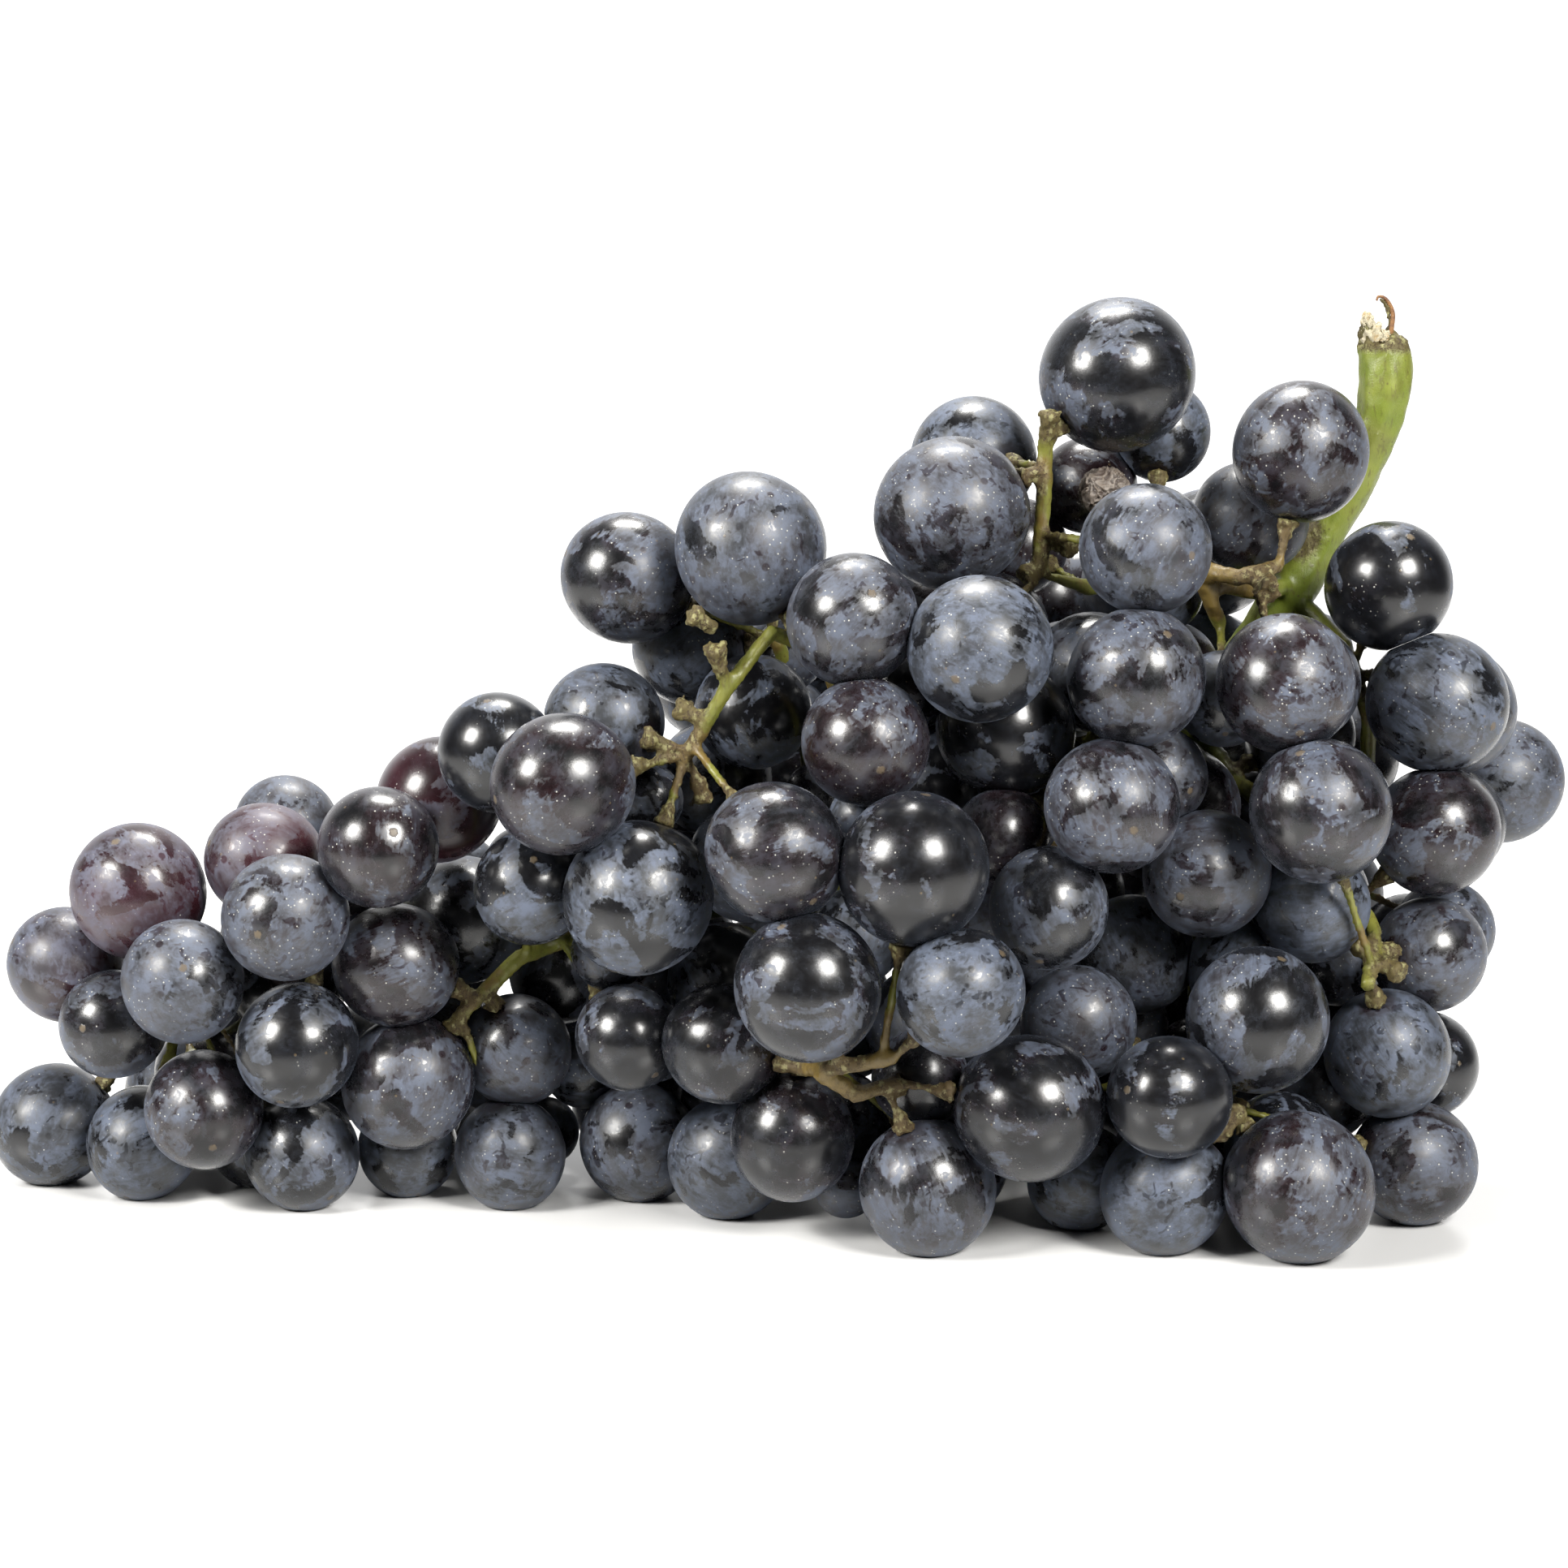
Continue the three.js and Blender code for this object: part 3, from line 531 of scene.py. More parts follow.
def raisin_material():
    """Shrivelled skin: brown grey and matt, with painted shade in its folds."""
    own = bpy.context.scene.grape_berries
    skin = Material("raisin_skin")
    place = skin.attribute("skin_place", "Vector")
    painted_fold_shade = skin.attribute("painted_fold_shade", "Fac")
    cloud = skin.noise(place, 420, 4, 0.65)
    grain = skin.noise(place, 3200, 3, 0.6)
    coat = skin.mix(cloud.steps(0.3, 0.7), own.raisin, own.raisin_pale)
    # Painted shade: darker in the low places between the wrinkles.
    coat = skin.mix(painted_fold_shade * 0.75, coat, own.raisin_painted_shade)
    coat = skin.mix(grain.steps(0.62, 0.74) * 0.5, coat, own.dust)
    rough = 0.55 + (grain - 0.5) * 0.25
    skin.bump(grain * 0.6 + cloud, 0.12 * MM, 0.7)
    return skin.finish(coat, rough, IOR=1.45)


def bark_material():
    """Stem bark: yellow green, streaked along, with brown warty cork at the cups."""
    own = bpy.context.scene.grape_stem
    bark = Material("stem_bark")
    place = bark.node("ShaderNodeTexCoord", None, None, "Object")
    cork = bark.attribute("cork", "Fac")
    stout = bark.attribute("stout", "Fac")
    ridge = bark.attribute("ridge", "Fac")
    dry = bark.attribute("dry", "Fac")
    streaks = bark.noise(bark.vector("MULTIPLY", place, (1.0, 1.0, 0.3)), 1500, 4, 0.62, 0.4)
    cloud = bark.noise(place, 190, 4, 0.6)
    grain = bark.noise(place, 3600, 3, 0.65)
    warts = bark.cells(place, 900)
    broad = bark.noise(place, 95, 3, 0.6, 0.4)

    # Green where the stem is thick, yellow on the twigs, and rusty where they are dry.
    green = bark.mix(cloud.steps(0.3, 0.7), own.green, own.fresh)
    green = bark.mix(broad.steps(0.46, 0.60) * 0.55, green, own.olive)
    twig = bark.mix(cloud.steps(0.35, 0.7), own.yellow, own.dull)
    rusty = (broad * 0.5 + cloud * 0.5 + dry * 0.4).steps(0.52, 0.62)
    twig = bark.mix(rusty * 0.7, twig, own.rust)
    coat = bark.mix(stout, twig, green)
    coat = bark.mix(streaks.steps(0.52, 0.68) * 0.5, coat, own.brown)
    freckles = 1 - bark.cells(place, 720).steps(0.07, 0.16)
    coat = bark.mix(freckles * 0.6, coat, own.brown)

    # Cork with pale crumbs and cracks, and painted shade in its low places.
    corky = (cork + dry * 0.45 + (cloud - 0.5) * 0.6 + (grain - 0.5) * 0.4).steps(0.35, 0.75)
    crumbs = warts + (grain - 0.5) * 0.8 + (streaks - 0.5) * 0.9
    crust = bark.mix(crumbs.steps(0.15, 0.50), own.cork, own.brown)
    coat = bark.mix(corky * 0.85, coat, crust)
    cracks = (grain * 0.55 + streaks * 0.45).steps(0.52, 0.60)
    coat = bark.mix(cracks * corky * 0.75, coat, own.crack)
    # Painted shade: darker where the bark's lumps are low.
    coat = bark.mix((0.5 - ridge).steps(0.05, 0.5) * 0.5 * corky, coat, own.painted_pit_shade)
    rough = 0.40 + corky * 0.3 + (grain - 0.5) * 0.2
    height = streaks * 0.35 + grain * 0.35 + corky * (1 - warts) * 0.8 - cracks * corky * 0.6
    bark.bump(height, 0.16 * MM, 0.8)
    return bark.finish(coat, rough, IOR=1.45)


def pith_material():
    """Torn pith: white and fibrous."""
    own = bpy.context.scene.grape_stem
    pith = Material("torn_pith")
    place = pith.node("ShaderNodeTexCoord", None, None, "Object")
    fibres = pith.noise(pith.vector("MULTIPLY", place, (1.0, 1.0, 0.16)), 2600, 3, 0.6, 0.3)
    cloud = pith.noise(place, 700, 3, 0.6)
    coat = pith.mix(cloud.steps(0.52, 0.72), own.pith, own.stained)
    coat = pith.mix(fibres.steps(0.58, 0.7) * 0.5, coat, own.strand)
    pith.bump(fibres, 0.2 * MM, 0.8)
    return pith.finish(coat, 0.65 + (fibres - 0.5) * 0.2)


def dry_material():
    """Dry curled fibre: orange brown."""
    own = bpy.context.scene.grape_stem
    dry = Material("dry_bark")
    place = dry.node("ShaderNodeTexCoord", None, None, "Object")
    cloud = dry.noise(place, 900, 3, 0.65)
    grain = dry.noise(place, 4200, 3, 0.6)
    coat = dry.mix(cloud.steps(0.35, 0.68), own.straw, own.burnt)
    dry.bump(grain, 0.15 * MM, 0.7)
    return dry.finish(coat, 0.6 + (grain - 0.5) * 0.2)


def floor_material():
    """White acrylic: very pale, with a soft gloss and faint marks."""
    own = bpy.context.scene.grape_stage
    floor = Material("white_floor")
    place = floor.node("ShaderNodeTexCoord", None, None, "Object")
    marks = floor.noise(place, 14, 3, 0.6)
    coat = floor.mix(marks.steps(0.4, 0.9) * 0.02, own.floor, (0.8, 0.8, 0.8))
    return floor.finish(coat, 0.24 + (marks - 0.5) * 0.1, IOR=1.45)


# Reading the model


def welded(obj):
    """The object's mesh as a bmesh of triangles without doubled corners."""
    mesh = bmesh.new()
    mesh.from_mesh(obj.data)
    bmesh.ops.triangulate(mesh, faces=mesh.faces[:])
    bmesh.ops.remove_doubles(mesh, verts=mesh.verts[:], dist=WELD)
    mesh.normal_update()
    return mesh


def concave(edge):
    """True where two faces meet in a valley."""
    return len(edge.link_faces) == 2 and edge.calc_face_angle_signed(0) < -CREASE


def patches(mesh):
    """The faces in groups, each bounded by valleys."""
    seen = set()
    groups = []
    for first in mesh.faces:
        if first.index in seen:
            continue
        seen.add(first.index)
        group = [first]
        for face in group:
            for edge in face.edges:
                if concave(edge):
                    continue
                for other in edge.link_faces:
                    if other.index not in seen:
                        seen.add(other.index)
                        group.append(other)
        groups.append(group)
    return groups


def clean_corners(group):
    """The group's corners that touch neither a valley nor the table."""
    corners = {corner for face in group for corner in face.verts}
    kept = []
    for corner in corners:
        if corner.co.z < TABLE + OVER_TABLE:
            continue
        if any(concave(edge) for edge in corner.link_edges):
            continue
        kept.append(corner.co[:])
    return np.array(sorted(kept))


def round_fit(points):
    """Centre and radius of the sphere that lies nearest to points."""
    table = np.c_[2 * points, np.ones(len(points))]
    answer = np.linalg.lstsq(table, (points ** 2).sum(axis=1), rcond=None)[0]
    centre = answer[:3]
    return centre, math.sqrt(max(answer[3] + centre @ centre, 0))


def off_form(state, points):
    """How far points lie off the long round form with this centre, size and axis."""
    away = points - state[:3]
    axis = state[4:] / np.linalg.norm(state[4:])
    along = away @ axis
    across = (away ** 2).sum(axis=1) - along ** 2
    length, width = state[3] * LENGTH_SHARE, state[3] * WIDTH_SHARE
    return (np.sqrt(np.maximum(across, 0) / width ** 2 + (along / length) ** 2) - 1) * state[3]


def long_fit(points, centre, radius, axis):
    """Improves centre, size and axis step by step."""
    state = np.array([*centre, radius, *(np.array(axis) * radius)])
    for _ in range(FIT_STEPS):
        miss = off_form(state, points)
        slopes = np.empty((len(points), len(state)))
        for index in range(len(state)):
            nudged = state.copy()
            nudged[index] += FIT_NUDGE
            slopes[:, index] = (off_form(nudged, points) - miss) / FIT_NUDGE
        state = state - np.linalg.lstsq(slopes, miss, rcond=1e-6)[0]
    return state, float(np.abs(off_form(state, points)).mean())


class Berry:
    """One berry: centre, radius, and the direction from its stalk to its blossom end."""

    def __init__(self, centre, radius, axis, cluster):
        self.centre = np.array(centre, dtype=float)
        self.radius = radius
        self.axis = axis / np.linalg.norm(axis)
        self.cluster = cluster
        self.hung = False

    def turn_from(self, stem):
        """Turns the axis so that it points away from the stalk, and notes whether it has one."""
        poles = [self.centre + side * self.axis * self.radius * SWELL for side in (-1, 1)]
        gaps = [float(np.sqrt(((stem - pole) ** 2).sum(axis=1)).min()) for pole in poles]
        if gaps[1] < gaps[0]:
            self.axis = -self.axis
        self.hung = min(gaps) < POLE_REACH


def find_berries(node, cluster):
    """The berries of one cluster, from the corners of its model."""
    mesh = welded(node)
    berries = []
    for group in patches(mesh):
        points = clean_corners(group)
        if len(points) < SMALLEST_PATCH:
            continue
        centre, radius = round_fit(points)
        outer = np.linalg.norm(points - centre, axis=1) > radius * OUTER_SHARE
        if outer.sum() >= SMALLEST_PATCH:
            points = points[outer]
            centre, radius = round_fit(points)
        fits = [long_fit(points, centre, radius, start) for start in START_AXES]
        state, miss = min(fits, key=lambda fit: fit[1])
        berries.append(Berry(state[:3], state[3] / SWELL, state[4:], cluster))
    mesh.free()
    if not berries:
        raise RuntimeError(f"no berry was found in {cluster}")
    return berries


def mesh_places(mesh):
    """Corners and normals of a mesh."""
    places = np.empty(len(mesh.vertices) * 3)
    normals = np.empty(len(mesh.vertices) * 3)
    mesh.vertices.foreach_get("co", places)
    mesh.vertices.foreach_get("normal", normals)
    return places.reshape(-1, 3), normals.reshape(-1, 3)


@functools.cache
def all_berries():
    """Every berry: the model's own and the small ones deep in the bunch."""
    stem = mesh_places(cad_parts["stem"].data)[0]
    berries = []
    for name in sorted(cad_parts):
        if name.startswith("berries_"):
            berries += find_berries(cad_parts[name], name)
    for berry in berries:
        berry.turn_from(stem)
    berries += small_berries(berries)
    return berries + filler_berries(berries, stem)


def drawn(place):
    """A place of the drawing in metres of the model."""
    return (np.array(place) + DRAWING) * MM


def small_berries(others):
    """The small berries, turned their own ways and shrunk where they would press on others."""
    draws = np.random.default_rng(SMALL_SEED)
    berries = []
    for *place, diameter in SMALL_BERRIES:
        centre = drawn(place)
        radius = diameter / 2 * MM
        for other in others + berries:
            room = np.linalg.norm(other.centre - centre) - other.radius
            radius = min(radius, max(room, 0) + INNER_PRESS)
        axis = draws.normal(size=3)
        if radius > SMALL_LEAST:
            berries.append(Berry(centre, radius, axis, "inner"))
    return berries


def blush_of(berry):
    """How red a berry is."""
    near = [
        redness for *place, redness in BLUSHED
        if np.linalg.norm(drawn(place) - berry.centre) < BLUSH_REACH
    ]
    return max(near, default=FAINT_BLUSH)


def covered(place, berries):
    """True where a place is under the bunch's outline."""
    above = [
        berry for berry in berries
        if abs(berry.centre[0] - place[0]) < FILLER_SPREAD and berry.centre[2] > place[2] + berry.radius
    ]
    return len(above) >= FILLER_COVER


def filler_berries(others, stem):
    """Berries in the hollow middle: the largest that find room, one after the other."""
    draws = np.random.default_rng(FILLER_SEED)
    places = draws.uniform(FILLER_LOW, FILLER_HIGH, size=(FILLER_TRIES, 3)) * MM
    places = np.array([place for place in places if covered(place, others)])
    room = places[:, 2].copy()
    for corner in stem:
        room = np.minimum(room, np.linalg.norm(places - corner, axis=1) - INNER_PRESS)
    for berry in others:
        gap = np.linalg.norm(places - berry.centre, axis=1) - berry.radius
        room = np.minimum(room, gap + INNER_PRESS)
    least, most = FILLER_RADII
    found = []
    while room.max() > least:
        best = int(room.argmax())
        axis = draws.normal(size=3)
        radius = min(room[best], most)
        berry = Berry(places[best], radius, axis, "inner")
        found.append(berry)
        gap = np.linalg.norm(places - berry.centre, axis=1) - berry.radius
        room = np.minimum(room, gap + INNER_PRESS)
    return found


# Making meshes


def placed(name, data):
    """A new object in the scene with this data."""
    item = bpy.data.objects.new(name, data)
    bpy.context.scene.collection.objects.link(item)
    return item


def new_piece(name, corners, faces, material):
    """A smooth mesh object in the scene that rides on the one body."""
    mesh = bpy.data.meshes.new(name)
    mesh.vertices.add(len(corners))
    mesh.vertices.foreach_set("co", np.asarray(corners, dtype=np.float32).ravel())
    faces = np.asarray(faces)
    mesh.loops.add(faces.size)
    mesh.loops.foreach_set("vertex_index", faces.ravel().astype(np.int32))
    mesh.polygons.add(len(faces))
    mesh.polygons.foreach_set("loop_start", np.arange(0, faces.size, faces.shape[1], dtype=np.int32))
    mesh.update(calc_edges=True)
    mesh.validate()
    mesh.shade_smooth()
    mesh.materials.append(material)
    piece = placed(name, mesh)
    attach(piece, BODY)
    return piece


def carry(piece, name, values):
    """Puts a number or vector on every corner, for the material to read."""
    kind, key = ("FLOAT_VECTOR", "vector") if values.ndim == 2 else ("FLOAT", "value")
    layer = piece.data.attributes.new(name, kind, "POINT")
    layer.data.foreach_set(key, values.astype(np.float32).ravel())


def ball(fineness):
    """Corners and faces of a fine round ball of radius 1."""
    mesh = bmesh.new()
    bmesh.ops.create_icosphere(mesh, subdivisions=fineness, radius=1)
    corners = np.array([corner.co[:] for corner in mesh.verts])
    faces = np.array([[corner.index for corner in face.verts] for face in mesh.faces])
    mesh.free()
    return corners / np.linalg.norm(corners, axis=1)[:, None], faces


def across_axis(axis):
    """A turn that takes +Z to the axis."""
    return np.array(Vector((0, 0, 1)).rotation_difference(Vector(axis)).to_matrix())


def bell(away, height, reach):
    """A round rise that falls off with the angle away from its top."""
    return height * np.exp(-((away / reach) ** 2))


def berry_form(berry, round_corners, draws):
    """One berry's corners about its centre: long, uneven, dimpled at both ends."""
    own = bpy.context.scene.grape_berries
    size = berry.radius * own.plumpness
    swell = np.ones(len(round_corners))
    for _ in range(WAVES):
        wave = draws.normal(size=3)
        wave *= draws.uniform(*WAVE_COUNTS) / np.linalg.norm(wave)
        swell += own.unevenness * np.cos(round_corners @ wave + draws.uniform(0, math.tau))
    height = round_corners[:, 2]
    from_stalk = np.arccos(np.clip(-height, -1, 1))
    from_blossom = np.arccos(np.clip(height, -1, 1))
    swell -= bell(from_stalk, *STALK_DIMPLE)
    swell -= bell(from_blossom, *BLOSSOM_DIMPLE)
    swell += bell(from_blossom, *BLOSSOM_POINT)
    corners = round_corners * swell[:, None] * size
    corners[:, :2] *= WIDTH_SHARE
    corners[:, 2] *= LENGTH_SHARE
    return corners @ across_axis(berry.axis).T


def press_flat(corners, berry, others):
    """Flattens a berry where it presses on others and on the table."""
    for other in others:
        apart = other.centre - berry.centre
        distance = np.linalg.norm(apart)
        if other is berry or distance > (berry.radius + other.radius) * TOUCHING:
            continue
        apart /= distance
        wall = (distance ** 2 + berry.radius ** 2 - other.radius ** 2) / (2 * distance) - WALL_GAP
        over = np.maximum((corners - berry.centre) @ apart - wall, 0)
        corners -= over[:, None] * apart
    corners[:, 2] = np.maximum(corners[:, 2], FLAT_SPOT)
    return corners


def cluster_piece(name, members, everyone, material, fineness):
    """One piece with the fine berries of one cluster."""
    round_corners, faces = ball(fineness)
    seed = sum(ord(letter) * (place + 1) for place, letter in enumerate(name))
    draws = np.random.default_rng(seed)
    corners, triangles, places, poles = [], [], [], []
    own = {"tone": [], "wear": [], "blush": []}
    for rank, berry in enumerate(members):
        form = berry_form(berry, round_corners, draws)
        corners.append(press_flat(form + berry.centre, berry, everyone))
        triangles.append(faces + rank * len(round_corners))
        spin = across_axis(draws.normal(size=3))
        places.append((round_corners * berry.radius) @ spin.T + draws.uniform(-1, 1, size=3))
        poles.append(round_corners[:, 2])
        values = {"tone": draws.uniform(), "wear": draws.uniform(), "blush": blush_of(berry)}
        for key, value in values.items():
            own[key].append(np.full(len(round_corners), value))
    piece = new_piece(name, np.concatenate(corners), np.concatenate(triangles), material)
    carry(piece, "skin_place", np.concatenate(places))
    carry(piece, "pole", np.concatenate(poles))
    for key, values in own.items():
        carry(piece, key, np.concatenate(values))
    return piece


def joined_copy(name, meshes):
    """One mesh object made of several bmeshes."""
    whole = bmesh.new()
    for part in meshes:
        holder = bpy.data.meshes.new("part")
        part.to_mesh(holder)
        whole.from_mesh(holder)
        bpy.data.meshes.remove(holder)
        part.free()
    mesh = bpy.data.meshes.new(name)
    whole.to_mesh(mesh)
    whole.free()
    return placed(name, mesh)


def cone(base, top, base_radius, top_radius):
    """A bmesh cone stump between two places."""
    part = bmesh.new()
    axis = top - base
    turn = Vector((0, 0, 1)).rotation_difference(axis).to_matrix().to_4x4()
    matrix = Matrix.Translation((base + top) / 2) @ turn
    bmesh.ops.create_cone(
        part, cap_ends=True, segments=CUP_SIDES, radius1=base_radius, radius2=top_radius, depth=axis.length,
        matrix=matrix,
    )
    return part


def wart(place, radius):
    """A small round lump."""
    part = bmesh.new()
    bmesh.ops.create_icosphere(part, subdivisions=1, radius=radius, matrix=Matrix.Translation(place))
    return part


def cup(top, axis, cones, rule, draws):
    """The parts of one cork cup with its rim at top: its cones, and the warts round it."""
    parts = []
    for (low, low_radius), (high, high_radius) in cones:
        ends = top + axis * low * MM, top + axis * high * MM
        parts.append(cone(*ends, low_radius * MM, high_radius * MM))
    side = axis.orthogonal().normalized()
    for count in range(rule["count"]):
        angle = math.tau * count / rule["in_turn"] + draws.uniform(-rule["sway"], rule["sway"])
        depth = draws.uniform(*rule["depth"])
        ring = max(rule["rim"] - CUP_TAPER * depth, CUP_WAIST)
        place = top - axis * depth * MM + Matrix.Rotation(angle, 3, axis) @ side * ring * MM
        parts.append(wart(place, draws.uniform(*rule["size"]) * MM))
    return parts


def cups(berries):
    """The cork cups between the hung berries and their stalks, and those on the bare ends."""
    draws = np.random.default_rng(CUP_SEED)
    parts = []
    for berry in berries:
        if berry.hung:
            axis = Vector(berry.axis)
            pole = Vector(berry.centre) - axis * berry.radius * LENGTH_SHARE * CUP_SINK
            parts += cup(pole, axis, HUNG_CUP, HUNG_WARTS, draws)
    for before, end in BARE_ENDS:
        top = Vector(drawn(end))
        parts += cup(top, (top - Vector(drawn(before))).normalized(), BARE_CUP, BARE_WARTS, draws)
    return parts


def smooth_run(points, steps):
    """Points on an even curve through a run of points."""
    points = np.array(points, dtype=float)
    ends = np.vstack([2 * points[0] - points[1], points, 2 * points[-1] - points[-2]])
    run = []
    for index in range(1, len(ends) - 2):
        a, b, c, d = ends[index - 1:index + 3]
        for step in range(steps):
            t = step / steps
            run.append(0.5 * (2 * b + (c - a) * t + (2 * a - 5 * b + 4 * c - d) * t ** 2
                              + (3 * b - a - 3 * c + d) * t ** 3))
    run.append(points[-1])
    return np.array(run)


def tube(run, radii, sides, depth, count):
    """A bmesh tube along a run, closed at both ends, with a count of grooves of a depth along it."""
    part = bmesh.new()
    rings = []
    normal = Vector((0, 1, 0))
    for index, place in enumerate(run):
        ahead = Vector(run[min(index + 1, len(run) - 1)]) - Vector(run[max(index - 1, 0)])
        ahead.normalize()
        normal = (normal - ahead * normal.dot(ahead)).normalized()
        across = ahead.cross(normal)
        ring = []
        for side in range(sides):
            turn = math.tau * side / sides
            groove = 0.5 + 0.5 * math.cos(turn * count + index * GROOVE_TWIST)
            radius = radii[index] * (1 - depth * groove)
            ring.append(part.verts.new(
                Vector(place) + (normal * math.cos(turn) + across * math.sin(turn)) * radius
            ))
        rings.append(ring)
    for low, high in zip(rings, rings[1:]):
        for side in range(sides):
            after = (side + 1) % sides
            part.faces.new((low[side], low[after], high[after], high[side]))
    part.faces.new(rings[0][::-1])
    part.faces.new(rings[-1])
    return part


def stalk():
    """The thick stalk, smooth and softly grooved, over the model's faceted one."""
    run = smooth_run([drawn(place[:3]) for place in STALK], STALK_STEPS)
    radii = smooth_run([[place[3] * MM] * 3 for place in STALK], STALK_STEPS)[:, 0]
    return tube(run, radii, STALK_SIDES, *STALK_GROOVES)


def remeshed(piece, voxel):
    """Makes one even skin over everything in the piece."""
    modifier = piece.modifiers.new("skin", "REMESH")
    modifier.mode = "VOXEL"
    modifier.voxel_size = voxel
    modifier.adaptivity = 0
    apply_modifiers(piece)


def smoothed(piece, factor, rounds):
    """Evens the surface out."""
    modifier = piece.modifiers.new("even", "SMOOTH")
    modifier.factor = factor
    modifier.iterations = rounds
    apply_modifiers(piece)


def apply_modifiers(piece):
    """Turns what the modifiers give into the piece's own mesh."""
    graph = bpy.context.evaluated_depsgraph_get()
    mesh = bpy.data.meshes.new_from_object(piece.evaluated_get(graph))
    piece.modifiers.clear()
    old = piece.data
    piece.data = mesh
    bpy.data.meshes.remove(old)


def nearness(places, marks, reach):
    """1 on a mark and 0 from reach away, for every place."""
    best = np.full(len(places), np.inf)
    for mark in marks:
        best = np.minimum(best, ((places - mark) ** 2).sum(axis=1))
    return np.clip(1 - np.sqrt(best) / reach, 0, 1)


def noises(places, scale, shift=(0, 0, 0)):
    """Smooth noise from -1 to 1 at many places."""
    return np.array([noise.noise(Vector(place) * scale + Vector(shift)) for place in places])


def bark_relief(places, cork):
    """Height of the bark over the smooth stem: soft ribs, and lumps on the cork."""
    ribs, lumps = noises(places, RIB_SCALE), noises(places, LUMP_SCALE)
    lump_height = bpy.context.scene.grape_stem.warts * (LEAST_LUMPS + cork)
    return ribs * RIB_HEIGHT * (1 - RIBS_LOST * cork) + lumps * lump_height, lumps


# Pieces


class MakeBerries(bpy.types.Operator):
    """Puts fine berries in the place of every cluster of the model"""

    bl_idname = "grapes.berries"
    bl_label = "Berries"

    def execute(self, context):
        black = skin_material("grape_skin")
        red = skin_material("red_grape_skin")
        everyone = all_berries()
        for cluster in sorted({berry.cluster for berry in everyone}):
            members = [berry for berry in everyone if berry.cluster == cluster]
            rosy = cluster in ("berries_tip", "berries_ridge")
            fineness = context.scene.grape_berries.fineness - (cluster == "inner")
            skin = red if rosy else black
            piece = cluster_piece(f"fine_{cluster}", members, everyone, skin, fineness)
            if cluster != "inner":
                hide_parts(cluster)
        return {"FINISHED"}


class MakeRaisin(bpy.types.Operator):
    """Puts a wrinkled raisin in the place of the model's"""

    bl_idname = "grapes.raisin"
    bl_label = "Raisin"

    def execute(self, context):
        low, high = (Vector(corner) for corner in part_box("raisin"))
        middle, half = (low + high) / 2, (high - low) / 2
        corners, faces = ball(RAISIN_FINENESS)
        bend_scale, bend_reach = WRINKLE_BEND
        darkest, fall = FOLD_SHADE
        noise.seed_set(WRINKLE_SEED)
        spots = [Vector(corner) for corner in corners]
        spots = [spot + noise.noise_vector(spot * bend_scale) * bend_reach for spot in spots]
        folds = np.zeros(len(corners))
        for scale, shift, share in WRINKLES:
            folds += share * (1 - abs(noises(spots, scale, shift))) ** 3
        form = corners * (RAISIN_CORE + RAISIN_RISE * folds)[:, None] * np.array(half)
        piece = new_piece("wrinkled_raisin", form + np.array(middle), faces, raisin_material())
        carry(piece, "skin_place", corners * half.x)
        # How much painted shade each low place between the wrinkles gets.
        carry(piece, "painted_fold_shade", np.clip(darkest - fall * folds, 0, 1))
        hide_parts("raisin")
        return {"FINISHED"}


class MakeStem(bpy.types.Operator):
    """Puts a stem with bark, cups and warts in the place of the model's"""

    bl_idname = "grapes.stem"
    bl_label = "Stem"

    def execute(self, context):
        own = bpy.context.scene.grape_stem
        berries = all_berries()
        parts = [welded(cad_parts["stem"]), stalk(), *cups(berries)]
        piece = joined_copy("barked_stem", parts)
        remeshed(piece, own.voxel)
        smoothed(piece, *SMOOTHING)
        places, normals = mesh_places(piece.data)
        poles = [b.centre - b.axis * b.radius for b in berries if b.hung]
        ends = [drawn(end) for _, end in BARE_ENDS]
        near_cups, near_ends = (
            nearness(places, marks, reach) for marks, reach in zip((poles, ends), CORK_REACH)
        )
        cork = np.maximum(near_cups, near_ends)
        torn = np.clip((places[:, 2] - TORN_FROM) / TORN_BAND, 0, 1)
        cork = np.maximum(np.clip(cork * CORK_GAIN, 0, 1), torn * TORN_CORK)
        dry = sum(nearness(places, [drawn(middle)], reach) for middle, reach in DRY_TWIGS)
        dry = np.clip(dry * DRY_GAIN, 0, 1)
        relief, lumps = bark_relief(places, np.maximum(cork, dry * DRY_LUMPS))
        places += normals * relief[:, None]
        places[:, 2] = np.maximum(places[:, 2], TABLE + OVER_TABLE)
        piece.data.vertices.foreach_set("co", places.astype(np.float32).ravel())
        piece.data.update()
        piece.data.shade_smooth()
        piece.data.materials.clear()
        piece.data.materials.append(bark_material())
        carry(piece, "cork", cork)
        # The height of the lumps, which places the painted shade in their low places.
        carry(piece, "ridge", lumps * 0.5 + 0.5)
        carry(piece, "dry", dry)
        run = smooth_run([drawn(place[:3]) for place in STALK], STOUT_STEPS)
        stout = nearness(places, run, STOUT_REACH) * STOUT_GAIN
        carry(piece, "stout", np.clip(stout, 0, 1))
        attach(piece, BODY)
        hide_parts("stem")
        return {"FINISHED"}


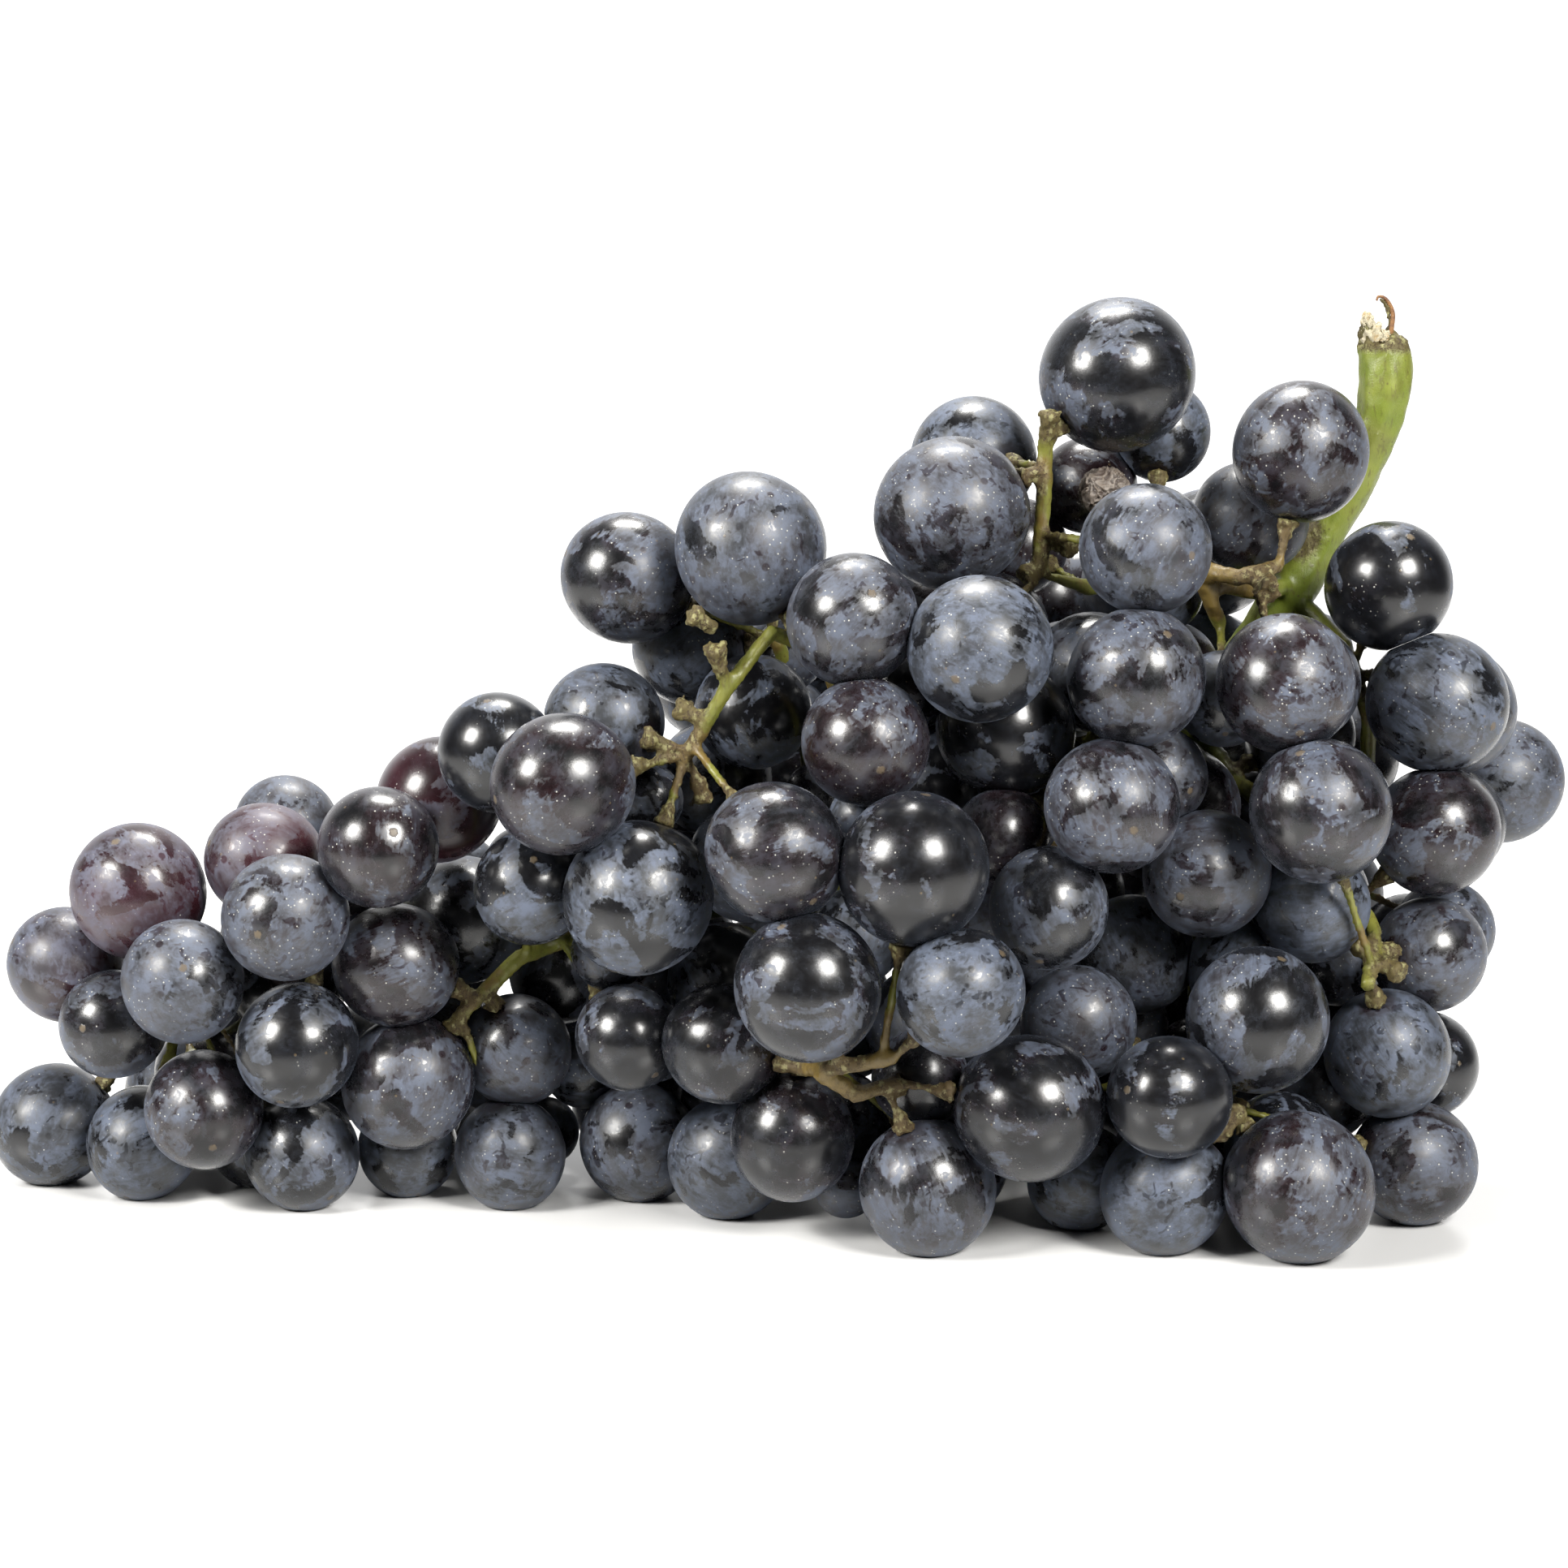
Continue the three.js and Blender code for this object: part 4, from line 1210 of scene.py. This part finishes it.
class MakeTornEnd(bpy.types.Operator):
    """Puts torn white pith and a dry curled fibre on the stalk's end"""

    bl_idname = "grapes.torn_end"
    bl_label = "Torn end"

    def execute(self, context):
        round_corners, faces = ball(PITH_FINENESS)
        coarse, finer = PITH_SCALES
        lump, crumb = PITH_HEIGHTS
        corners, triangles = [], []
        for rank, (place, sizes) in enumerate(PITH_LUMPS):
            shift = Vector((rank * PITH_SHIFT, 0, 0))
            spots = [Vector(corner) * coarse + shift for corner in round_corners]
            rise = PITH_CORE + lump * noises(spots, 1) + crumb * noises(spots, finer)
            corners.append(round_corners * rise[:, None] * np.array(sizes) * MM + drawn(place))
            triangles.append(faces + rank * len(round_corners))
        pith = new_piece("torn_pith", np.concatenate(corners), np.concatenate(triangles), pith_material())
        run = smooth_run([drawn(place) for place in FIBRE], FIBRE_STEPS)
        radii = np.linspace(*FIBRE_RADII, len(run)) * MM
        fibre = joined_copy("dry_fibre", [tube(run, radii, FIBRE_SIDES, *FIBRE_GROOVES)])
        fibre.data.shade_smooth()
        fibre.data.materials.append(dry_material())
        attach(fibre, BODY)
        return {"FINISHED"}


class MakeStage(bpy.types.Operator):
    """Lays the floor and sets the light and the camera"""

    bl_idname = "grapes.stage"
    bl_label = "Stage"

    def execute(self, context):
        own = bpy.context.scene.grape_stage
        self.floor()
        self.backdrop()
        aim = Vector(own.aim)
        for lamp in LAMPS:
            self.light(aim, *lamp)
        camera = placed("camera", bpy.data.cameras.new("camera"))
        camera.data.lens = own.lens
        camera.data.sensor_width = 36
        camera.data.clip_start = 0.01
        camera.location = aim + self.way(0, math.degrees(own.elevation)) * own.distance
        camera.rotation_euler = (aim - camera.location).to_track_quat("-Z", "Y").to_euler()
        context.scene.camera = camera
        context.scene.view_settings.view_transform = "Standard"
        return {"FINISHED"}

    @staticmethod
    def way(azimuth, elevation):
        """Direction at an azimuth to the right of the front and an elevation, in degrees."""
        turn, lift = math.radians(azimuth), math.radians(elevation)
        return Vector((math.sin(turn) * math.cos(lift), -math.cos(turn) * math.cos(lift), math.sin(lift)))

    def floor(self):
        """A white sheet."""
        left, right, near, far = FLOOR_EDGES
        corners = [(left, near, 0), (right, near, 0), (right, far, 0), (left, far, 0)]
        mesh = bpy.data.meshes.new("floor")
        mesh.from_pydata(corners, [], [(0, 1, 2, 3)])
        mesh.materials.append(floor_material())
        placed("floor", mesh)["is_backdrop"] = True

    def light(self, aim, name, azimuth, elevation, distance, size, power):
        """A soft rectangular light that faces the bunch."""
        data = bpy.data.lights.new(name, "AREA")
        data.shape = "RECTANGLE"
        data.size, data.size_y = size
        data.energy = power
        data.color = LAMP_COLOUR
        lamp = placed(name, data)
        lamp.location = aim + self.way(azimuth, elevation) * distance
        lamp.rotation_euler = (aim - lamp.location).to_track_quat("-Z", "Y").to_euler()

    def backdrop(self):
        """A white wall of light behind and a dim room in front, which looks white itself."""
        world = bpy.data.worlds.new("studio")
        bpy.context.scene.world = world
        world.use_nodes = True
        room = Nodes(world.node_tree)
        place = room.node("ShaderNodeTexCoord", None, None, "Generated")
        behind = room.node("ShaderNodeSeparateXYZ", None, [place], "Y")
        glow = ROOM_DIM + (ROOM_WHITE - ROOM_DIM) * behind.steps(*ROOM_TURN)
        seen = room.node("ShaderNodeLightPath", None, None, "Is Camera Ray")
        strength = room.node("ShaderNodeMath", {"operation": "MAXIMUM"}, [glow, seen])
        background = room.nodes["Background"]
        room.put(background.inputs["Strength"], strength)
        room.put(background.inputs["Color"], (1, 1, 1))


class GrapePanel(bpy.types.Panel):
    """Lists the pieces and their settings"""

    bl_idname = "VIEW3D_PT_grapes"
    bl_label = "Bunch of grapes"
    bl_space_type = "VIEW_3D"
    bl_region_type = "UI"
    bl_category = "Grapes"

    def draw(self, context):
        groups = (
            (context.scene.grape_berries, (MakeBerries, MakeRaisin)),
            (context.scene.grape_stem, (MakeStem, MakeTornEnd)),
            (context.scene.grape_stage, (MakeStage,)),
        )
        for settings, operators in groups:
            box = self.layout.box()
            for key in settings.__annotations__:
                box.prop(settings, key)
            for operator in operators:
                box.operator(operator.bl_idname)


CLASSES = (
    BerrySettings, StemSettings, StageSettings, MakeBerries, MakeRaisin, MakeStem, MakeTornEnd,
    MakeStage, GrapePanel,
)


def register():
    """Adds the classes and the settings to Blender."""
    for each in CLASSES:
        bpy.utils.register_class(each)
    bpy.types.Scene.grape_berries = bpy.props.PointerProperty(type=BerrySettings)
    bpy.types.Scene.grape_stem = bpy.props.PointerProperty(type=StemSettings)
    bpy.types.Scene.grape_stage = bpy.props.PointerProperty(type=StageSettings)


def unregister():
    """Takes them out again."""
    del bpy.types.Scene.grape_berries
    del bpy.types.Scene.grape_stem
    del bpy.types.Scene.grape_stage
    for each in reversed(CLASSES):
        bpy.utils.unregister_class(each)


def main():
    """Makes every piece and the stage."""
    register()
    bpy.ops.grapes.berries()
    bpy.ops.grapes.raisin()
    bpy.ops.grapes.stem()
    bpy.ops.grapes.torn_end()
    bpy.ops.grapes.stage()
    boxes = {"cad": CAD_BOX, "visual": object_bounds()}
    boxes = {name: [list(corner) for corner in box] for name, box in boxes.items()}


if __name__ == "__main__":
    main()
